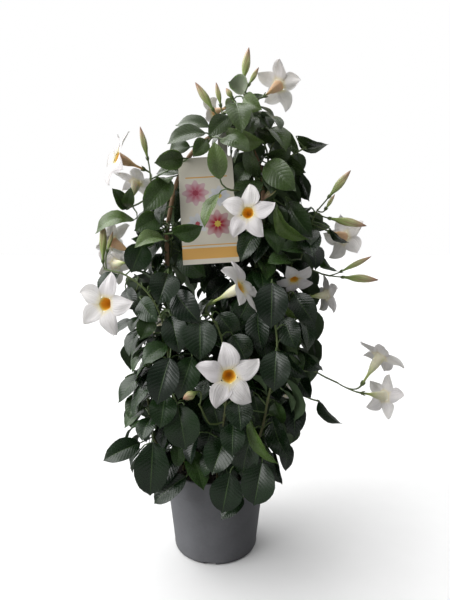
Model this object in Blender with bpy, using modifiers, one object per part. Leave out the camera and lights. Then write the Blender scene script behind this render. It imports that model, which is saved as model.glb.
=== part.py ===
"""A mandevilla in flower, twining over a bamboo hoop in the nursery pot it is sold in.

Metres, +Z up. The pot stands on z = 0 with its axis on Z, and the plant's face looks along -Y.
Places that the photograph settles are written as its pixels (450 by 600) with a depth, which is
their y, and at_pixel turns them into points.
"""

from collections import namedtuple
from math import acos, atan2, cos, pi, radians, sin
from random import Random

import bmesh
import bpy
from mathutils import Matrix, Quaternion, Vector
from mathutils.bvhtree import BVHTree

# Driving sizes of the pot, soil, hoop and card
POT_HEIGHT = 0.153
POT_FOOT_RADIUS = 0.073
POT_TOP_RADIUS = 0.0902
POT_WALL = 0.0018
POT_SIDES = 20
COLLAR_HEIGHT = 0.035
COLLAR_STEP = 0.0014
RIM_LIP = 0.0022
FOOT_HEIGHT = 0.005
FOOT_CHAMFER = 0.0015
FOOT_WIDTH = 0.010
PAD_RADIUS = 0.030
NOTCH_WIDTH = 0.019
NOTCH_TURN = radians(263.5)
NOTCHES = 4
DRAIN_RADIUS = 0.0045
DRAINS = 6
SOIL_TOP = 0.138
HOLE_DEPTH = 0.045
HOLE_SIDES = 6
GAP = 0.0003
TWINE_GAP = 0.0016
CANE_RADIUS = 0.0038
CARD_WIDTH = 0.0895
CARD_HEIGHT = 0.180
CARD_THICKNESS = 0.0009
CARD_TAB_WIDTH = 0.016
CARD_TAB_REACH = 0.042
CARD_TILT = radians(15.5)
CARD_TURN = radians(-3.6)
CARD_SHIFT = -0.029

# Sizes of the plant's own parts
STEM_RADIUS = 0.0026
TWIG_RADIUS = 0.0015
PETIOLE_RADIUS = 0.0011
BLADE_THICKNESS = 0.0013
STALK_RADIUS = 0.0012
CALYX_RADIUS = 0.0026
PETAL_THICKNESS = 0.0012
TUBE_NECK_RADIUS = 0.0026
MOUTH_RADIUS = 0.0092
NOTCH_REACH = 0.58
SHOULDER_REACH = 0.76
BLOOM_SEGMENTS = 15
LEAF_STATIONS = (0.0, 0.3, 0.68)
PETIOLE_START = 0.0012
PETIOLE_BEND = 0.1
STEM_STEP = 0.040
END_MARGIN = 0.003
FIRST_PAIR = 0.10
PAIR_REACH = 0.86
FOLD = 0.22
FILL_ARCH = 0.14
BACK_BLOOM = 0.1

# The camera that took the photograph
EYE = Vector((0.017, -0.8145, 0.5326))
PITCH = radians(6.31)
FOCAL = 471.0
CENTRE_COLUMN = 225.0
CENTRE_ROW = 300.0

# The hoop's centre line, in pixels at depth 0
HOOP = (
    (185, 452), (178, 380), (169, 300), (167, 240), (170, 212), (177, 182), (192, 153),
    (218, 134), (245, 141), (260, 168), (263, 195), (260, 259), (252, 340), (247, 400), (243, 452),
)

# The photograph's outline of the foliage: row, left column, right column
OUTLINE = (
    (85, 225, 262), (110, 212, 284), (130, 178, 292), (150, 164, 306), (180, 148, 308),
    (215, 134, 312), (250, 124, 318), (290, 126, 318), (330, 128, 318), (370, 128, 320),
    (400, 128, 305), (430, 128, 296), (460, 122, 290), (480, 136, 283), (500, 156, 262),
)

Shoot = namedtuple("Shoot", "name root path twigs pairs twine", defaults=((), 0, None))
Leaf = namedtuple("Leaf", "base tip near lean roll width arch", defaults=(-0.02, 0, 0.04, 0.12))
Bloom = namedtuple("Bloom", "name shoot mouth near facing spin reach tube")
Bud = namedtuple("Bud", "base tip near lean girth", defaults=(0.0, 0.0045))
Twine = namedtuple("Twine", "leg rise turns phase")
Piece = namedtuple("Piece", "node kind tree low high")
Form = namedtuple("Form", "start base along up side length width arch")

SHOOTS = (
    Shoot("shoot_cane_left", None, (
        (165, 226, -0.010), (160, 206, -0.020), (153, 188, -0.018), (150, 178, -0.012),
    ), twigs=(
        ((148, 198, -0.022), (138, 204, -0.02), (128, 208, -0.015)),
    ), pairs=3, twine=Twine("left", 0.575, 2.5, 1.6)),
    Shoot("shoot_cane_right", None, (
        (258, 186, -0.016), (255, 160, -0.012), (250, 132, -0.008), (246, 110, 0.0), (245, 96, 0.0),
    ), twigs=(
        ((255, 200, -0.03), (244, 192, -0.065), (230, 190, -0.088)),
    ), pairs=3, twine=Twine("right", 0.61, 2.5, 2.6)),
    Shoot("shoot_over_top", None, (
        (268, 160, -0.004), (259, 135, -0.020), (246, 117, -0.024), (232, 113, -0.026), (218, 128, -0.03),
        (206, 146, -0.032),
    ), twigs=(
        ((224, 112, -0.01), (219, 118, 0.0)),
    ), pairs=3, twine=Twine("right", 0.585, 2.5, 5.8)),
    Shoot("shoot_right_top", (0.030, 0.030), (
        (262, 400, 0.035), (272, 320, 0.034), (274, 250, 0.025), (270, 190, 0.016), (274, 168, 0.006),
        (288, 158, 0.0), (306, 147, 0.0),
    ), twigs=(
        ((268, 160, 0.0), (272, 146, -0.006), (278, 136, -0.006)),
    ), pairs=4),
    Shoot("shoot_left", (-0.036, -0.036), (
        (180, 440, -0.062), (172, 390, -0.074), (167, 345, -0.080), (160, 314, -0.076), (147, 292, -0.066),
        (132, 279, -0.060), (119, 272, -0.056),
    ), twigs=(
        ((112, 271, -0.048), (104, 269, -0.038)),
    ), pairs=3),
    Shoot("shoot_left_low", (-0.056, -0.014), (
        (166, 452, -0.045), (154, 438, -0.060), (150, 412, -0.062), (146, 385, -0.050), (148, 350, -0.036),
        (150, 325, -0.028),
    ), pairs=4),
    Shoot("shoot_front", (0.004, -0.050), (
        (221, 440, -0.088), (226, 400, -0.100), (224, 362, -0.104), (221, 336, -0.098), (212, 318, -0.092),
        (205, 311, -0.088),
    ), twigs=(
        ((210, 424, -0.108), (199, 404, -0.124)),
    ), pairs=2),
    Shoot("shoot_front_right", (0.034, -0.044), (
        (258, 440, -0.084), (268, 400, -0.094), (277, 352, -0.096), (274, 318, -0.082), (270, 290, -0.070),
    ), pairs=3),
    Shoot("shoot_right_low", (0.056, -0.012), (
        (274, 440, -0.032), (290, 405, -0.036), (300, 372, -0.032), (298, 340, -0.026), (292, 312, -0.02),
        (288, 292, -0.018),
    ), twigs=(
        ((313, 371, -0.018), (325, 377, -0.008), (338, 383, 0.0)),
        ((304, 396, -0.018), (311, 399, -0.01), (318, 401, -0.004)),
    ), pairs=4),
    Shoot("shoot_right", (0.052, 0.016), (
        (268, 410, 0.018), (284, 340, 0.012), (293, 290, 0.006), (302, 254, 0.0), (308, 230, 0.0),
        (318, 209, 0.0),
    ), twigs=(
        ((312, 270, 0.0), (322, 274, 0.0), (331, 276, 0.0)),
    ), pairs=4),
    Shoot("shoot_low_front", (0.022, -0.064), (
        (240, 462, -0.098), (242, 446, -0.104), (238, 432, -0.100),
    ), pairs=0),
    Shoot("shoot_back_left", (-0.044, 0.034), (
        (178, 400, 0.062), (170, 340, 0.078), (174, 270, 0.080), (184, 210, 0.060), (196, 170, 0.040),
    ), pairs=6),
    Shoot("shoot_back", (0.0, 0.052), (
        (218, 410, 0.078), (226, 330, 0.096), (216, 250, 0.094), (224, 190, 0.070), (232, 150, 0.040),
    ), pairs=6),
    Shoot("shoot_back_right", (0.050, 0.040), (
        (252, 400, 0.064), (264, 330, 0.078), (262, 260, 0.080), (256, 210, 0.062), (252, 170, 0.042),
    ), pairs=6),
)

BLOOMS = (
    Bloom("bloom_front", "shoot_front", (229, 376), -0.165, (0.0, -1.0, 0.10), 52, 0.049, 0.050),
    Bloom("bloom_left", "shoot_left", (106, 304), -0.105, (-0.35, -0.92, 0.12), 34, 0.050, 0.050),
    Bloom("bloom_by_card", "shoot_cane_right", (248, 213), -0.105, (-0.20, -0.95, 0.10), 44, 0.043, 0.050),
    Bloom("bloom_below_card", "shoot_front", (240, 288), -0.118, (0.80, -0.36, 0.45), 20, 0.045, 0.056),
    Bloom("bloom_top", "shoot_cane_right", (278, 86), 0.028, (0.55, 0.60, 0.55), 0, 0.045, 0.046),
    Bloom("bloom_upper_left", "shoot_cane_left", (118, 158), -0.012, (-0.80, -0.50, 0.30), 0, 0.048, 0.050),
    Bloom("bloom_upper_left_back", "shoot_cane_left", (136, 184), 0.030, (0.2, 0.45, 0.87), 10, 0.042, 0.042),
    Bloom("bloom_mid_left", "shoot_cane_left", (114, 243), 0.010, (-0.82, 0.35, 0.42), 20, 0.044, 0.048),
    Bloom("bloom_mid_left_back", "shoot_cane_left", (116, 264), 0.075, (-0.62, 0.72, -0.1), 0, 0.040, 0.044),
    Bloom("bloom_mid_right", "shoot_right", (343, 237), 0.020, (0.70, 0.62, -0.20), 30, 0.044, 0.044),
    Bloom("bloom_inner_right", "shoot_right", (294, 279), -0.026, (0.1, -0.75, -0.65), 10, 0.036, 0.036),
    Bloom("bloom_right_side", "shoot_right_low", (325, 295), 0.010, (0.93, 0.35, 0.06), 40, 0.037, 0.036),
    Bloom("bloom_far_right_high", "shoot_right_low", (379, 358), 0.004, (0.60, 0.38, 0.70), 15, 0.046, 0.060),
    Bloom("bloom_far_right_low", "shoot_right_low", (383, 396), -0.012, (0.80, 0.50, -0.25), 50, 0.040, 0.056),
    Bloom("bloom_top_back", "shoot_over_top", (214, 112), 0.034, (-0.75, 0.45, -0.1), 0, 0.032, 0.030),
    Bloom("bloom_back_high", "shoot_back", (234, 208), 0.160, (0.12, 0.95, 0.22), 0, 0.046, 0.050),
    Bloom("bloom_back_left", "shoot_back_left", (158, 330), 0.145, (-0.5, 0.85, 0.12), 30, 0.046, 0.050),
    Bloom("bloom_back_right", "shoot_back_right", (282, 392), 0.135, (0.45, 0.88, 0.0), 50, 0.046, 0.050),
)

BUDS = {
    "shoot_cane_left": (
        Bud((148, 160), (140, 126), -0.008, girth=0.0055),
    ),
    "shoot_cane_right": (
        Bud((243, 82), (249, 47), 0.0, girth=0.0072),
        Bud((248, 86), (259, 67), -0.006, girth=0.0042),
        Bud((281, 182), (262, 200), -0.050, -0.02, 0.0055),
    ),
    "shoot_over_top": (
        Bud((214, 111), (195, 82), -0.004, girth=0.0068),
        Bud((221, 107), (216, 82), 0.006, girth=0.0046),
        Bud((233, 99), (226, 88), 0.004, girth=0.0050),
    ),
    "shoot_left": (
        Bud((103, 263), (103, 219), -0.038, girth=0.0064),
        Bud((107, 252), (113, 231), -0.046, girth=0.0036),
    ),
    "shoot_right": (
        Bud((328, 198), (351, 170), 0.0, girth=0.0070),
        Bud((325, 210), (335, 194), -0.01, girth=0.0036),
        Bud((328, 218), (367, 226), -0.006, girth=0.0074),
        Bud((340, 272), (372, 256), 0.0, girth=0.0050),
        Bud((341, 277), (379, 280), 0.0, girth=0.0076),
    ),
    "shoot_front": (
        Bud((197, 392), (183, 399), -0.135, -0.02, 0.0068),
    ),
}

LEAVES = {
    "shoot_cane_left": (
        Leaf((183, 158), (154, 163), -0.030, -0.02, 0, 0.032),
        Leaf((171, 180), (143, 212), -0.046, -0.02, 10, 0.040),
        Leaf((183, 172), (156, 174), -0.012, 0.0, 50, 0.034),
        Leaf((126, 209), (112, 188), -0.016, -0.03, 20, 0.024),
        Leaf((127, 207), (131, 187), -0.020, -0.03, 0, 0.020),
        Leaf((134, 220), (95, 234), -0.030, -0.01, 50, 0.036, 0.25),
        Leaf((161, 217), (134, 231), -0.040, -0.02, 10, 0.036),
        Leaf((162, 231), (131, 239), -0.050, -0.02, -50, 0.036),
        Leaf((166, 241), (134, 248), -0.060, -0.02, 50, 0.034, 0.20),
        Leaf((143, 244), (131, 273), -0.060, -0.02, 0, 0.044),
        Leaf((173, 233), (203, 226), -0.075, -0.02, 35, 0.036),
        Leaf((175, 222), (176, 188), -0.030, -0.01, 50, 0.026),
        Leaf((180, 252), (206, 277), -0.014, -0.01, 20, 0.042),
        Leaf((166, 200), (161, 226), -0.050, -0.01, 50, 0.026),
    ),
    "shoot_over_top": (
        Leaf((209, 127), (175, 125), -0.020, 0.01, 55, 0.036),
        Leaf((205, 133), (167, 144), -0.036, -0.01, 50, 0.038),
        Leaf((206, 140), (193, 157), -0.050, -0.02, 0, 0.026),
        Leaf((230, 117), (208, 137), -0.036, -0.02, 20, 0.032),
        Leaf((190, 147), (168, 151), -0.026, 0.02, 30, 0.028),
        Leaf((226, 131), (265, 142), -0.046, -0.02, 40, 0.040),
        Leaf((222, 139), (250, 151), -0.054, -0.02, -45, 0.036),
        Leaf((236, 115), (236, 131), 0.026, 0.03, 160, 0.026),
    ),
    "shoot_cane_right": (
        Leaf((220, 179), (214, 141), -0.098, -0.01, 0, 0.030),
        Leaf((219, 194), (204, 228), -0.100, -0.01, 45, 0.026),
        Leaf((260, 177), (247, 144), -0.028, -0.03, -35, 0.030),
        Leaf((266, 163), (296, 191), -0.046, -0.03, 0, 0.042),
        Leaf((244, 98), (262, 110), -0.020, -0.03, 10, 0.030),
        Leaf((248, 95), (262, 97), -0.004, 0.03, 40, 0.024),
        Leaf((245, 92), (228, 82), -0.004, 0.02, 150, 0.034, 0.30),
        Leaf((234, 99), (227, 110), 0.012, -0.01, 165, 0.020),
        Leaf((257, 120), (285, 131), -0.012, 0.0, 45, 0.036, 0.38),
        Leaf((252, 126), (282, 137), -0.030, -0.02, 60, 0.036),
        Leaf((256, 232), (241, 262), -0.046, -0.02, 20, 0.036),
        Leaf((252, 163), (234, 186), -0.024, -0.02, 20, 0.034),
    ),
    "shoot_right_top": (
        Leaf((269, 157), (292, 148), -0.030, -0.02, 40, 0.032),
        Leaf((283, 134), (299, 151), -0.010, -0.03, 20, 0.028),
        Leaf((298, 136), (329, 144), 0.000, 0.02, 50, 0.034, 0.20),
        Leaf((307, 149), (323, 145), 0.004, 0.02, 60, 0.018),
        Leaf((282, 156), (306, 173), -0.012, -0.02, 40, 0.036),
        Leaf((299, 169), (309, 202), 0.000, 0.0, 60, 0.036),
        Leaf((262, 176), (276, 191), 0.002, 0.0, 20, 0.030),
    ),
    "shoot_right": (
        Leaf((277, 205), (309, 240), -0.060, -0.02, 50, 0.036, 0.25),
        Leaf((272, 208), (286, 227), -0.046, -0.03, 0, 0.032),
        Leaf((288, 202), (313, 238), -0.020, 0.0, 20, 0.042),
        Leaf((312, 218), (330, 229), 0.010, 0.02, 40, 0.026),
        Leaf((305, 251), (281, 250), -0.040, -0.03, 45, 0.034),
        Leaf((291, 260), (267, 263), -0.050, -0.03, 45, 0.032),
        Leaf((317, 249), (339, 272), -0.004, 0.01, 65, 0.034),
        Leaf((293, 264), (312, 280), -0.020, -0.03, 10, 0.036),
        Leaf((330, 229), (349, 243), -0.020, 0.0, 65, 0.026),
    ),
    "shoot_front_right": (
        Leaf((272, 283), (271, 329), -0.098, -0.02, 0, 0.050),
        Leaf((275, 284), (300, 321), -0.108, -0.01, 65, 0.036),
        Leaf((276, 351), (274, 392), -0.118, -0.02, 0, 0.046),
        Leaf((280, 351), (308, 378), -0.092, -0.02, 50, 0.036),
        Leaf((250, 418), (279, 465), -0.122, -0.02, 62, 0.038),
        Leaf((253, 432), (242, 480), -0.116, -0.02, 15, 0.044),
        Leaf((262, 462), (254, 506), -0.118, -0.01, 0, 0.052),
        Leaf((272, 416), (290, 461), -0.082, -0.02, 30, 0.040),
        Leaf((275, 402), (284, 424), -0.076, -0.02, 30, 0.030),
        Leaf((284, 318), (296, 349), -0.074, -0.02, 10, 0.040),
        Leaf((258, 312), (262, 350), -0.074, -0.01, 20, 0.040),
        Leaf((254, 396), (263, 430), -0.060, -0.02, 0, 0.044),
        Leaf((249, 300), (238, 322), -0.060, -0.01, 0, 0.036),
    ),
    "shoot_right_low": (
        Leaf((294, 294), (315, 325), -0.040, -0.03, 0, 0.042),
        Leaf((303, 319), (315, 346), -0.026, 0.0, 55, 0.032),
        Leaf((292, 325), (304, 338), -0.030, -0.03, 40, 0.024),
        Leaf((299, 350), (323, 371), -0.040, 0.0, 50, 0.038),
        Leaf((296, 372), (311, 398), -0.034, -0.02, 20, 0.036),
        Leaf((319, 401), (343, 424), 0.0, 0.0, 60, 0.036),
        Leaf((298, 397), (302, 416), -0.014, -0.01, 50, 0.024),
        Leaf((288, 400), (291, 431), -0.034, -0.02, 50, 0.036),
        Leaf((274, 452), (282, 485), -0.070, -0.02, 50, 0.036),
    ),
    "shoot_front": (
        Leaf((200, 321), (200, 361), -0.112, -0.03, 0, 0.050),
        Leaf((233, 423), (232, 457), -0.122, -0.03, 0, 0.038),
        Leaf((238, 400), (241, 431), -0.116, -0.02, 0, 0.042),
        Leaf((207, 380), (202, 401), -0.110, -0.02, 40, 0.028),
        Leaf((197, 437), (191, 465), -0.090, -0.02, 50, 0.032),
        Leaf((226, 438), (212, 475), -0.112, -0.03, 10, 0.048),
        Leaf((214, 422), (203, 455), -0.072, -0.02, 0, 0.046),
        Leaf((211, 396), (221, 434), -0.066, -0.02, 0, 0.044),
        Leaf((219, 314), (238, 338), -0.066, -0.01, 10, 0.044),
        Leaf((233, 335), (247, 362), -0.060, -0.02, 0, 0.044),
    ),
    "shoot_back": (
        Leaf((229, 280), (206, 300), 0.040, -0.01, 0, 0.044),
        Leaf((242, 266), (220, 262), 0.050, 0.0, 20, 0.036),
        Leaf((207, 258), (190, 284), 0.040, -0.01, 0, 0.042),
        Leaf((211, 330), (222, 358), 0.050, -0.01, 0, 0.044),
        Leaf((236, 296), (248, 322), 0.046, -0.01, 0, 0.044),
        Leaf((238, 236), (246, 268), 0.050, -0.01, 0, 0.042),
    ),
    "shoot_low_front": (
        Leaf((230, 473), (222, 514), -0.120, -0.01, 0, 0.052),
        Leaf((243, 498), (221, 520), -0.106, 0.0, 30, 0.034),
    ),
    "shoot_left": (
        Leaf((118, 275), (97, 291), -0.030, 0.0, 40, 0.030),
        Leaf((168, 274), (158, 305), -0.100, -0.03, 0, 0.046),
        Leaf((126, 289), (138, 311), -0.050, -0.03, 20, 0.030),
        Leaf((141, 300), (158, 322), -0.100, -0.03, 20, 0.034),
        Leaf((175, 292), (200, 323), -0.100, -0.02, 10, 0.042),
        Leaf((171, 316), (180, 354), -0.110, -0.03, 0, 0.040),
        Leaf((133, 321), (113, 336), -0.030, 0.0, 60, 0.030),
        Leaf((141, 316), (131, 333), -0.034, -0.02, 50, 0.024),
        Leaf((150, 320), (141, 340), -0.060, -0.03, 10, 0.032),
        Leaf((167, 345), (143, 364), -0.094, -0.02, 35, 0.036),
        Leaf((149, 338), (131, 357), -0.050, -0.01, 60, 0.028),
        Leaf((147, 348), (132, 373), -0.060, -0.01, 60, 0.030),
    ),
    "shoot_left_low": (
        Leaf((143, 376), (118, 403), -0.060, -0.01, 45, 0.034),
        Leaf((170, 358), (157, 405), -0.122, -0.02, 10, 0.048),
        Leaf((192, 357), (178, 400), -0.120, -0.02, 0, 0.042),
        Leaf((143, 393), (128, 419), -0.060, -0.02, 30, 0.032),
        Leaf((145, 408), (124, 428), -0.070, -0.02, 50, 0.034),
        Leaf((151, 418), (142, 441), -0.090, -0.03, 30, 0.032),
        Leaf((165, 395), (160, 429), -0.116, -0.03, 0, 0.042),
        Leaf((178, 405), (186, 450), -0.122, -0.02, 0, 0.054),
        Leaf((140, 443), (103, 461), -0.080, -0.02, 15, 0.036),
        Leaf((153, 442), (150, 496), -0.110, -0.01, 0, 0.054),
        Leaf((141, 449), (130, 469), -0.050, 0.0, 65, 0.026),
        Leaf((186, 477), (154, 504), -0.104, -0.01, 25, 0.040),
    ),
}


def at_pixel(column, row, depth):
    """The point at this depth that a pixel of the photograph shows."""
    rise = CENTRE_ROW - row
    ray = Vector((
        column - CENTRE_COLUMN,
        FOCAL * cos(PITCH) + rise * sin(PITCH),
        rise * cos(PITCH) - FOCAL * sin(PITCH),
    ))
    return EYE + ray * ((depth - EYE.y) / ray.y)


def pixel_of(point):
    """The column and row of the photograph where a point shows."""
    sight = point - EYE
    deep = sight.y * cos(PITCH) - sight.z * sin(PITCH)
    high = sight.y * sin(PITCH) + sight.z * cos(PITCH)
    return CENTRE_COLUMN + FOCAL * sight.x / deep, CENTRE_ROW - FOCAL * high / deep


def smooth_path(points, step):
    """Points a step apart on the smooth curve through the given points."""
    ends = [points[0] * 2 - points[1]] + list(points) + [points[-1] * 2 - points[-2]]
    path = []
    for before, start, end, after in zip(ends, ends[1:], ends[2:], ends[3:]):
        count = max(1, round((end - start).length / step))
        for index in range(count):
            t = index / count
            bend = (before * 2 - start * 5 + end * 4 - after) * t ** 2
            twist = (start * 3 - before - end * 3 + after) * t ** 3
            path.append((start * 2 + (end - before) * t + bend + twist) / 2)
    path.append(points[-1].copy())
    return path


def nearest_on(paths, point):
    """The nearest point to this one on some paths, a little short of their ends."""
    best = None
    for path in paths:
        for start, end in zip(path, path[1:]):
            run = end - start
            most = 1.0 - (END_MARGIN / run.length if end is path[-1] else 0.0)
            t = max(0.0, min(most, (point - start).dot(run) / run.length_squared))
            spot = start + run * t
            if best is None or (spot - point).length < (best - point).length:
                best = spot
    return best


def material(name, color, roughness):
    """A Principled material of one colour."""
    made = bpy.data.materials.new(name)
    made.use_nodes = True
    shader = made.node_tree.nodes["Principled BSDF"]
    shader.inputs["Base Color"].default_value = (*color, 1.0)
    shader.inputs["Roughness"].default_value = roughness
    shader.inputs["Metallic"].default_value = 0.0
    return made


def add_object(name, mesh, finish, group):
    """An object with this mesh and finish, in a collection."""
    made = bpy.data.objects.new(name, mesh)
    group.objects.link(made)
    mesh.materials.clear()
    mesh.materials.append(finish)
    return made


def modifier_mesh(made, name):
    """The object's mesh with its modifiers applied."""
    bpy.context.view_layer.update()
    evaluated = made.evaluated_get(bpy.context.evaluated_depsgraph_get())
    mesh = bpy.data.meshes.new_from_object(evaluated)
    mesh.name = name
    return mesh


def turned(name, profile, sides, finish, group):
    """A solid of revolution: the profile, outer side first from the top down, round the Z axis."""
    shape = bmesh.new()
    rim = [shape.verts.new((radius, 0.0, height)) for radius, height in profile]
    for start, end in zip(rim, rim[1:]):
        shape.edges.new((start, end))
    mesh = bpy.data.meshes.new(name)
    shape.to_mesh(mesh)
    shape.free()
    made = add_object(name, mesh, finish, group)
    screw = made.modifiers.new("turn", "SCREW")
    screw.steps = sides
    screw.render_steps = sides
    screw.use_merge_vertices = True
    screw.merge_threshold = 0.00001
    return made


def tube(name, points, radii, sides, finish, group):
    """A round rod with closed ends along some points, as a mesh."""
    curve = bpy.data.curves.new(name, "CURVE")
    curve.dimensions = "3D"
    curve.bevel_depth = radii[0]
    curve.bevel_resolution = (sides - 4) // 2
    curve.use_fill_caps = True
    line = curve.splines.new("POLY")
    line.points.add(len(points) - 1)
    for spot, point, radius in zip(line.points, points, radii):
        spot.co = (*point, 1.0)
        spot.radius = radius / radii[0]
    drawn = bpy.data.objects.new(name, curve)
    group.objects.link(drawn)
    mesh = modifier_mesh(drawn, name)
    bpy.data.objects.remove(drawn)
    bpy.data.curves.remove(curve)
    shape = bmesh.new()
    shape.from_mesh(mesh)
    bmesh.ops.remove_doubles(shape, verts=shape.verts, dist=0.00001)
    shape.to_mesh(mesh)
    shape.free()
    return add_object(name, mesh, finish, group)


def shaped_ball(name, segments, rings, place, finish, group):
    """A ball drawn out so that each of its points lies where place(ring, segment) says.

    Ring 0 and the last ring are the poles. Rings count inwards from both ends alike, so that the
    two faces of a thin blade are split into matching triangles.
    """
    shape = bmesh.new()
    bmesh.ops.create_uvsphere(shape, u_segments=segments, v_segments=rings, radius=1.0)
    spots = {}
    for vertex in shape.verts:
        ring = round(acos(max(-1.0, min(1.0, vertex.co.z))) / pi * rings)
        turn = atan2(vertex.co.y, vertex.co.x) / (2 * pi)
        spots[vertex] = (ring, round(turn * segments) % segments)
    for face in list(shape.faces):
        if len(face.verts) == 4:
            start, end = diagonal(face, spots, segments, rings)
            bmesh.utils.face_split(face, start, end)
    for vertex, (ring, segment) in spots.items():
        vertex.co = place(ring, segment)
    if shape.calc_volume(signed=True) < 0:
        bmesh.ops.reverse_faces(shape, faces=shape.faces)
    mesh = bpy.data.meshes.new(name)
    shape.to_mesh(mesh)
    shape.free()
    return add_object(name, mesh, finish, group)


def diagonal(face, spots, segments, rings):
    """The two corners of a ball's four-sided face that its split joins."""
    if segments == 4:
        edges = [v for v in face.verts if spots[v][1] % 2 == 0]
        middles = [v for v in face.verts if spots[v][1] % 2 == 1]
        return min(edges, key=lambda v: spots[v][0]), max(middles, key=lambda v: spots[v][0])

    def rank(vertex):
        ring = spots[vertex][0]
        return min(ring, 2 * (rings - 2) - ring)

    columns = {spots[v][1] for v in face.verts}
    first = max(columns) if columns == {0, segments - 1} else min(columns)
    low = min((v for v in face.verts if spots[v][1] == first), key=rank)
    high = max((v for v in face.verts if spots[v][1] != first), key=rank)
    return low, high


def blade_width(t):
    """A leaf's half width at a share of its length, as a share of its greatest."""
    return sin(pi * min(t, 1.0) ** 0.85) ** 0.75


def spine(form, t):
    """A point of a leaf's midrib, and the direction that its upper face looks there."""
    climb = 4.0 * form.arch * form.length
    point = form.base + form.along * (form.length * t) + form.up * (climb * t * (1.0 - t))
    run = form.along * form.length + form.up * (climb * (1.0 - 2.0 * t))
    return point, form.side.cross(run).normalized()


def petiole_rings(form):
    """The rings of a leaf's petiole: each one's centre, and how far it is turned from the blade's."""
    way = (form.base - form.start).normalized()
    turn = form.along.rotation_difference(way)
    rings = [(form.start + way * PETIOLE_START, turn)]
    if way.dot(form.along) < PETIOLE_BEND:
        half = Quaternion().slerp(turn, 0.5)
        rings.append((form.base - form.along * (PETIOLE_RADIUS * 6), half))
    return rings


def leaf_place(form):
    """Where each point of a leaf and its petiole lies."""
    rings = petiole_rings(form)

    def place(ring, segment):
        if ring == 0:
            return form.start
        if ring == leaf_rings(form):
            return spine(form, 1.0)[0]
        outward = (form.side, None, -form.side, None)[segment]
        if ring <= len(rings):
            centre, turn = rings[ring - 1]
            return centre + turn @ (outward or form.up * (2 - segment)) * PETIOLE_RADIUS
        t = LEAF_STATIONS[ring - len(rings) - 1]
        centre, normal = spine(form, t)
        if outward:
            half = max(PETIOLE_RADIUS, form.width / 2 * blade_width(t))
            return centre + outward * half + normal * (FOLD * (half - PETIOLE_RADIUS))
        return centre + normal * (BLADE_THICKNESS / 2 * (2 - segment))
    return place


def leaf_rings(form):
    """How many rings a leaf's ball is split into."""
    return len(LEAF_STATIONS) + len(petiole_rings(form)) + 1


def leaf_form(paths, base, tip, roll, width, arch):
    """A leaf from its blade's ends: the petiole meets the nearest stem."""
    along = (tip - base).normalized()
    face = (EYE - base).normalized()
    face = (face - along * face.dot(along)).normalized()
    up = Matrix.Rotation(roll, 3, along) @ face
    side = along.cross(up).normalized()
    return Form(nearest_on(paths, base), base, along, up, side, (tip - base).length, width, arch)


def hero_forms(leaf, paths):
    """A placed leaf, and the same one a little nearer or farther, all showing alike in front."""
    for turn in (0, 12, -12):
        for shift in (0, -0.006, 0.006, -0.012, 0.012, -0.02, 0.02, 0.03, -0.03, 0.04):
            for swing in (0, 0.012, -0.012, 0.024, -0.024):
                base = at_pixel(*leaf.base, leaf.near + shift)
                tip = at_pixel(*leaf.tip, leaf.near + shift + leaf.lean + swing)
                roll = radians(leaf.roll + turn)
                yield leaf_form(paths, base, tip, roll, leaf.width, leaf.arch)


def pair_forms(random, path, share, heading):
    """A leaf of an opposite pair on a shoot, and the same one swung aside."""
    place = share * (len(path) - 1)
    start = path[int(place)].lerp(path[min(int(place) + 1, len(path) - 1)], place % 1)
    length = random.uniform(0.068, 0.086)
    width = length * random.uniform(0.54, 0.62)
    droop = random.uniform(38, 68)
    petiole = random.uniform(0.014, 0.024)
    twist = random.uniform(-20, 20)
    for dip in (0, 14, -14, -30):
        for turn in (0, 18, -18, 36, -36, 60, -60):
            out = Matrix.Rotation(heading + radians(turn), 3, "Z") @ Vector((1.0, 0.0, 0.0))
            fall = radians(droop + dip)
            along = out * cos(fall) - Vector((0.0, 0.0, sin(fall)))
            base = start + out * petiole + Vector((0.0, 0.0, petiole * 0.35))
            up = out * sin(fall) + Vector((0.0, 0.0, cos(fall)))
            up = Matrix.Rotation(radians(twist), 3, along) @ up
            side = along.cross(up)
            yield Form(start, base, along, up, side, length, width, FILL_ARCH)


def within_outline(form):
    """Whether a leaf stays inside the photograph's outline and behind its front leaves."""
    for t in (0.3, 0.6, 1.0):
        point = spine(form, t)[0]
        if point.y < -0.095 or point.z < 0.165:
            return False
        column, row = pixel_of(point)
        if not OUTLINE[0][0] < row < OUTLINE[-1][0]:
            return False
        for (top, left, right), (bottom, low_left, low_right) in zip(OUTLINE, OUTLINE[1:]):
            if top <= row <= bottom:
                share = (row - top) / (bottom - top)
                if not left + (low_left - left) * share < column < right + (low_right - right) * share:
                    return False
    return True


def clear_of_blooms(form, blooms):
    """Whether a leaf leaves the blooms of the plant's face in sight."""
    for bloom in blooms:
        if bloom.near > BACK_BLOOM:
            continue
        for t in (0.3, 0.7, 1.0):
            point = spine(form, t)[0]
            column, row = pixel_of(point)
            away = Vector((column - bloom.mouth[0], row - bloom.mouth[1])).length
            if away < 20 and point.y < bloom.near:
                return False
    return True


# Pieces already placed, for leaving room between the nodes
placed = []


def piece_of(made, node, kind):
    """An object as a piece that others can be tested against."""
    points = [vertex.co.copy() for vertex in made.data.vertices]
    faces = [tuple(face.vertices) for face in made.data.polygons]
    low = Vector(min(point[axis] for point in points) for axis in range(3))
    high = Vector(max(point[axis] for point in points) for axis in range(3))
    return Piece(node, kind, BVHTree.FromPolygons(points, faces), low, high)


def is_clear(piece):
    """Whether a piece crosses nothing placed before it but its own node's stems and stalks."""
    for other in placed:
        if other.node == piece.node and other.kind == "stem":
            continue
        apart = any(
            piece.low[axis] > other.high[axis] or piece.high[axis] < other.low[axis]
            for axis in range(3)
        )
        if not apart and piece.tree.overlap(other.tree):
            return False
    return True


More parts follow.
